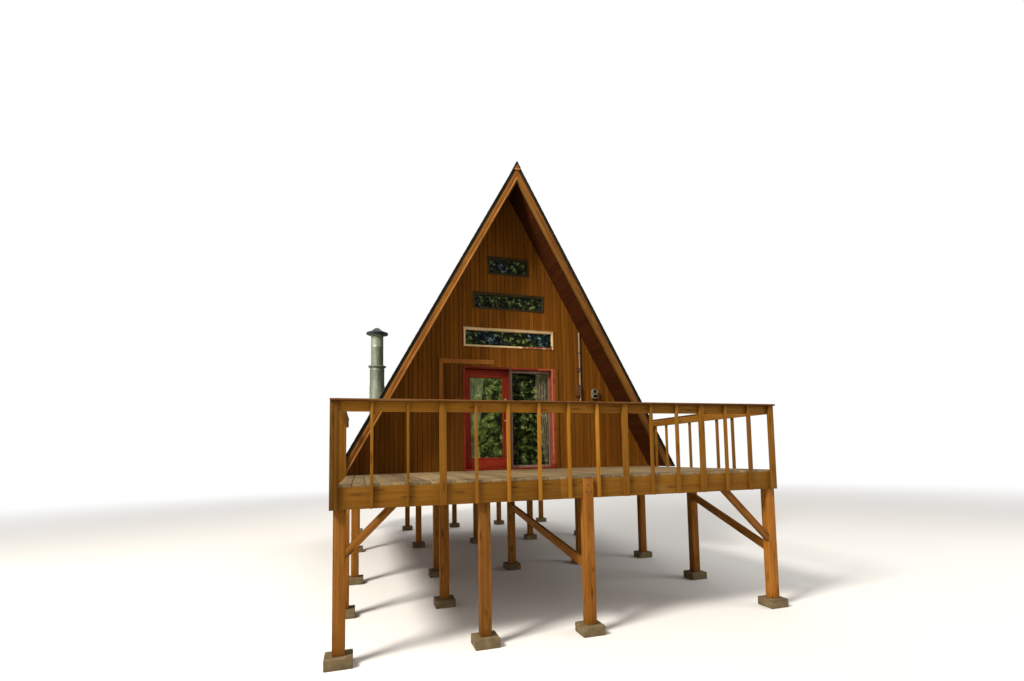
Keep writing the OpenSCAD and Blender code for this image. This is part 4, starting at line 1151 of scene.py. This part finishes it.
def post_bolts():
    """Bolts through the front posts, and those that hold the tongue over the front board."""
    tongue_x = fascia_low.x + 3.03
    low_z, high_z = 1.76, 1.90
    places = [((tongue_x + dx, fascia_low.y - BALUSTER, z), FORWARD)
        for dx, z in ((-0.03, 1.80), (0.03, 1.80), (0, 1.89), (0, low_z))]
    for side, edge in ((LEFT, fascia_low.x), (RIGHT, fascia_high.x)):
        places += [((edge, fascia_low.y + dy, z), (side, 0, 0)) for z in (low_z, high_z)
            for dy in (0.10, 0.14)]
    dress(heads(places, 0.010, 0.005, 6), "post_bolts", "grey_metal", DARK_METAL)


def pads():
    """Rough cast pads."""
    piece = ease(copy_of("pads"), 0.010)
    edit(piece)
    bpy.ops.mesh.subdivide(number_cuts=3)
    bpy.ops.transform.vertex_random(offset=0.0022, uniform=0.2, seed=3)
    bpy.ops.mesh.select_all(action="SELECT")
    done()
    low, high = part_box("pads")
    for v in piece.data.vertices:
        v.co = Vector([min(max(c, a), b) for c, a, b in zip(v.co, low, high)])
    dress(piece, "pads_cast", "concrete", CONCRETE, "pads")


# Fittings

def lifted(base, *profile):
    """Profile points whose heights count from a base."""
    return [(r, base + z) for r, z in profile]


def flue():
    """Two lengths of pipe with rolled beads and a ring flange at their joint, under a spun cap."""
    cap_low, cap_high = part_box("flue_cap")
    wide, slim, wall, bead = FLUE_R - 0.003, 0.121, 0.004, 0.003
    joint, skirt = FLOOR_Z + 2.140, cap_low.z - 0.018
    rim, flange = (cap_high.x - cap_low.x) / 2 + 0.020, wide + 0.033
    lower = [(slim - wall, pipe_low.z), (wide, pipe_low.z)]
    for z in (1.05, 1.55):
        lower += lifted(FLOOR_Z + z, (wide, 0), (wide + bead, 0.006), (wide + bead, 0.016), (wide, 0.022))
    lower += lifted(joint, (wide, -0.075), (wide + bead, -0.070), (wide + bead, -0.058),
        (wide, -0.053), (wide, -0.012), (wide + bead, -0.008), (wide + bead, 0),
        (slim + 0.012, 0.010), (slim + 0.004, 0.012))
    upper = lifted(joint, (slim - wall, 0), (flange - 0.003, 0.003), (flange, 0.006), (flange, 0.026),
        (flange - 0.003, 0.029), (slim + 0.006, 0.033), (slim, 0.039), (slim, 0.40), (slim + 0.002, 0.404),
        (slim + 0.002, 0.412), (slim, 0.416)) + [(slim, skirt), (slim - wall, skirt)]
    brim = lifted(skirt, (slim - 0.006, -0.02), (slim + 0.004, -0.001), (rim - 0.010, -0.001),
        (rim - 0.002, 0.001), (rim, 0.004), (rim, 0.026), (rim - 0.003, 0.029), (slim, 0.030))
    cone = lifted(skirt, (slim, 0.028), (rim - 0.004, 0.028), (rim - 0.004, 0.031), (rim * 0.55, 0.070),
        (0.055, 0.122), (0.022, 0.136), (0.0, 0.138))
    for name, profile, material, *nodes in (
            ("flue_lower", lower, GALVANISED, "flue_pipe"), ("flue_upper", upper, GALVANISED),
            ("flue_cap_brim", brim, SHADED_FLUE_BRIM, "flue_cap"), ("flue_cap_spun", cone, FLUE_CAP)):
        dress(turned(profile, ROUND, at(*FLUE_AXIS.xy)), name, "grey_metal", material, *nodes)
    solid("flue_flashing", "_metal", "grey_metal", GALVANISED, 0.001, 1)


def conduit():
    """A pipe that bends into the wall over a small box, with sleeves, straps and a clip."""
    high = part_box("wall_conduit")[1]
    x, radius, wall, bend, sides = 1.55, 0.017, 0.003, 0.040, 20
    plate_t, strap_half, strap_h = 0.004, 0.075, 0.025
    y = WALL_Y - plate_t - radius
    foot, box_z, clip_z = FLOOR_Z + 1.380, FLOOR_Z + 1.530, FLOOR_Z + 2.110
    pipe = fresh(bpy.ops.mesh.primitive_circle_add, vertices=sides, radius=radius,
        location=(x, y, foot + bend), fill_type="NOTHING")
    edit(pipe)
    bpy.ops.mesh.spin(steps=8, angle=math.pi / 2, center=(x, y + bend, foot + bend), axis=ACROSS)
    done()
    pick(pipe, lambda ends: all(abs(co.z - foot - bend) < 0.0001 for co in ends))
    bpy.ops.mesh.extrude_region_move(TRANSFORM_OT_translate={"value": (0, 0, high.z - foot - bend)})
    bpy.ops.mesh.select_all(action="SELECT")
    bpy.ops.mesh.remove_doubles(threshold=0.0001)
    bpy.ops.mesh.fill_holes(sides=40)
    face_out()
    sleeves = [turned([(radius, 0), (radius + wall, 0.002), (radius + wall, 0.05), (radius, 0.052)], sides,
        at(x, y, foot + z)) for z in (0.055, 0.95)]
    dress(join("pipe", [pipe] + sleeves), "conduit_pipe", "grey_metal", CONDUIT, "wall_conduit")

    straps, fixings = [], []
    for i in (1, 2):
        z = box_z + 0.240 + i * 0.340
        straps.append(board((x - strap_half, WALL_Y - plate_t, z), (x + strap_half, WALL_Y, z + strap_h),
            0.0008))
        straps.append(turned([(radius, 0), (radius + wall, 0), (radius + wall, strap_h), (radius, strap_h)],
            sides, at(x, y, z)))
        for side in (LEFT, RIGHT):
            fixings.append(((x + side * 0.055, WALL_Y - plate_t, z + strap_h / 2), FORWARD))
    box_w, box_h, front = 0.095, 0.240, 0.075
    left = x - radius - box_w
    case, door, lid, clip = (
        board((left + x0, WALL_Y - y0, box_z + z0), (left + x1, WALL_Y - y1, box_z + z1), edge)
        for x0, x1, y0, y1, z0, z1, edge in (
            (0, box_w, 0.062, 0, 0, 0.232, 0.004),
            (-0.001, box_w + 0.001, front, 0.060, -0.001, box_h, 0.004),
            (0.01, box_w - 0.01, 0.07, 0.004, 0.226, box_h, 0.003),
            (box_w - 0.050, box_w, 0.050, 0, clip_z - box_z - 0.052, clip_z - box_z, 0.004)))
    fixings += [((left + dx, WALL_Y - front, box_z + dz), FORWARD) for dx in (0.012, 0.083)
        for dz in (0.014, 0.226)]
    straps.append(heads(fixings, 0.004, 0.0015))
    dress(join("straps", straps), "conduit_straps", "grey_metal", DARK_METAL)
    dress(lid, "conduit_box_lid", "grey_metal", PALE_METAL)
    dress(join("case", [case, door, clip]), "conduit_box", "grey_metal", BOX_PAINT)


def wall_light():
    """A round lamp head on a flat plate, over a case with a lid."""
    low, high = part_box("wall_light")
    depth = high.y - low.y
    radius = (high.z - low.z - 0.087) / 2
    head_z = high.z - radius
    case_z, lid_in = low.z + 0.095, 0.012
    body = [
        board((low.x, WALL_Y - 0.014, low.z), (high.x, WALL_Y, head_z)),
        board(low, (high.x, WALL_Y, case_z), 0.008),
        board((low.x + lid_in, low.y, low.z + 0.020), (high.x - lid_in, low.y + 0.004, case_z - 0.017),
            0.0015),
    ]
    face = aim(((low.x + high.x) / 2, WALL_Y, head_z), FORWARD)
    body.append(turned([(radius - 0.01, 0), (radius, 0.004), (radius, depth - 0.006),
        (radius - 0.004, depth), (radius - 0.016, depth), (radius - 0.020, depth - 0.004),
        (radius - 0.022, depth - 0.022), (0.0, depth - 0.022)], 48, face))
    dress(join("light", body), "wall_light_case", "pale_metal", PALE_METAL, "wall_light")
    lens = turned([(radius - 0.023, depth - 0.0225), (radius - 0.024, depth - 0.018),
        (radius * 0.45, depth - 0.008), (0.0, depth - 0.006)], 32, face)
    dress(lens, "wall_light_lens", "glass", RUBBER)


# Studio and camera

def blended(tree, factor, a, b, output):
    """Blends two shaders into the output of a material or world."""
    blend = add(tree, "MixShader", {0: factor, 1: a.outputs[0], 2: b.outputs[0]})
    tree.links.new(blend.outputs[0], output.inputs["Surface"])


def seen(tree):
    """One for what the camera sees, straight or through a pane."""
    path = add(tree, "LightPath").outputs
    return calc(tree, "MAXIMUM", path["Is Camera Ray"], path["Is Transmission Ray"])


def studio():
    """A floor that fades to white, a soft white sky and three lamps."""
    fade_from, fade_to = 9.0, 34.0
    floor = fresh(bpy.ops.mesh.primitive_circle_add, vertices=96, radius=60,
        location=(0, 0, GROUND_Z - 0.001), fill_type="NGON")
    floor.name = "studio_floor"
    material, tree = start("studio floor")
    shader = fill(tree, tree.nodes[SHADER], {"Base Color": (0.80, 0.79, 0.77), "Roughness": 0.9,
        "Specular IOR Level": 0.1})
    distance = add(tree, "VectorMath", {0: object_place(tree)}, operation="LENGTH").outputs["Value"]
    far = span(tree, distance, (0.0, 1.0), (fade_from, fade_to), interpolation_type="SMOOTHSTEP")
    white = add(tree, "Emission", {"Color": (1, 1, 1), "Strength": 1.0})
    blended(tree, calc(tree, "MULTIPLY", far, seen(tree)), shader, white, tree.nodes["Material Output"])
    floor.data.materials.append(material)

    world = bpy.data.worlds.new("studio")
    bpy.context.scene.world = world
    world.use_nodes = True
    tree = world.node_tree
    tree.nodes.clear()
    soft = add(tree, "Background", {"Color": (1.0, 0.98, 0.95), "Strength": 0.50})
    white = add(tree, "Background", {"Color": (1, 1, 1), "Strength": 1.0})
    blended(tree, seen(tree), soft, white, add(tree, "OutputWorld"))

    aimed_at = Vector((0, -1, 3))
    for name, position, size, power, colour in (
            ("key", (-14, -11.5, 17), 5, 6800, (1.0, 0.94, 0.85)),
            ("fill", (14, -12, 7), 9, 900, (1.0, 0.98, 0.95)),
            ("rim", (4, 16, 12), 9, 1100, (1.0, 0.98, 0.94))):
        lamp = bpy.data.lights.new(name, "AREA")
        lamp.energy, lamp.size, lamp.color = power, size, colour
        holder = bpy.data.objects.new(name, lamp)
        bpy.context.scene.collection.objects.link(holder)
        holder.matrix_world = aim(position, Vector(position) - aimed_at)


def camera():
    """The photograph's viewpoint, from its vanishing points and the sizes of the deck."""
    stand = (-2.887, fascia_low.y - 6.421, 2.282)
    yaw, pitch, roll = 0.332, 0.076, -0.021
    focal_px, centre_px = 531.94, (544.9, 414.6)
    image_w, image_h = 1024, 681
    sensor = 36.0
    ahead = Vector((math.sin(yaw) * math.cos(pitch), math.cos(yaw) * math.cos(pitch), math.sin(pitch)))
    level = Vector((math.cos(yaw), -math.sin(yaw), 0))
    upward = level.cross(ahead)
    right = math.cos(roll) * level + math.sin(roll) * upward
    top = -math.sin(roll) * level + math.cos(roll) * upward
    data = bpy.data.cameras.new("camera")
    data.sensor_width = sensor
    data.lens = focal_px * sensor / image_w
    data.shift_x = (image_w / 2 - centre_px[0]) / image_w
    data.shift_y = (centre_px[1] - image_h / 2) / image_w
    data.clip_end = 300
    holder = bpy.data.objects.new("camera", data)
    bpy.context.scene.collection.objects.link(holder)
    holder.matrix_world = framed(stand, right, top, -ahead)
    bpy.context.scene.camera = holder


for build in (studio, camera, roof, walls, windows, entry, curtains, rails, deck, post_bolts, pads, flue,
        conduit, wall_light):
    build()

bpy.context.scene.view_settings.view_transform = "Standard"
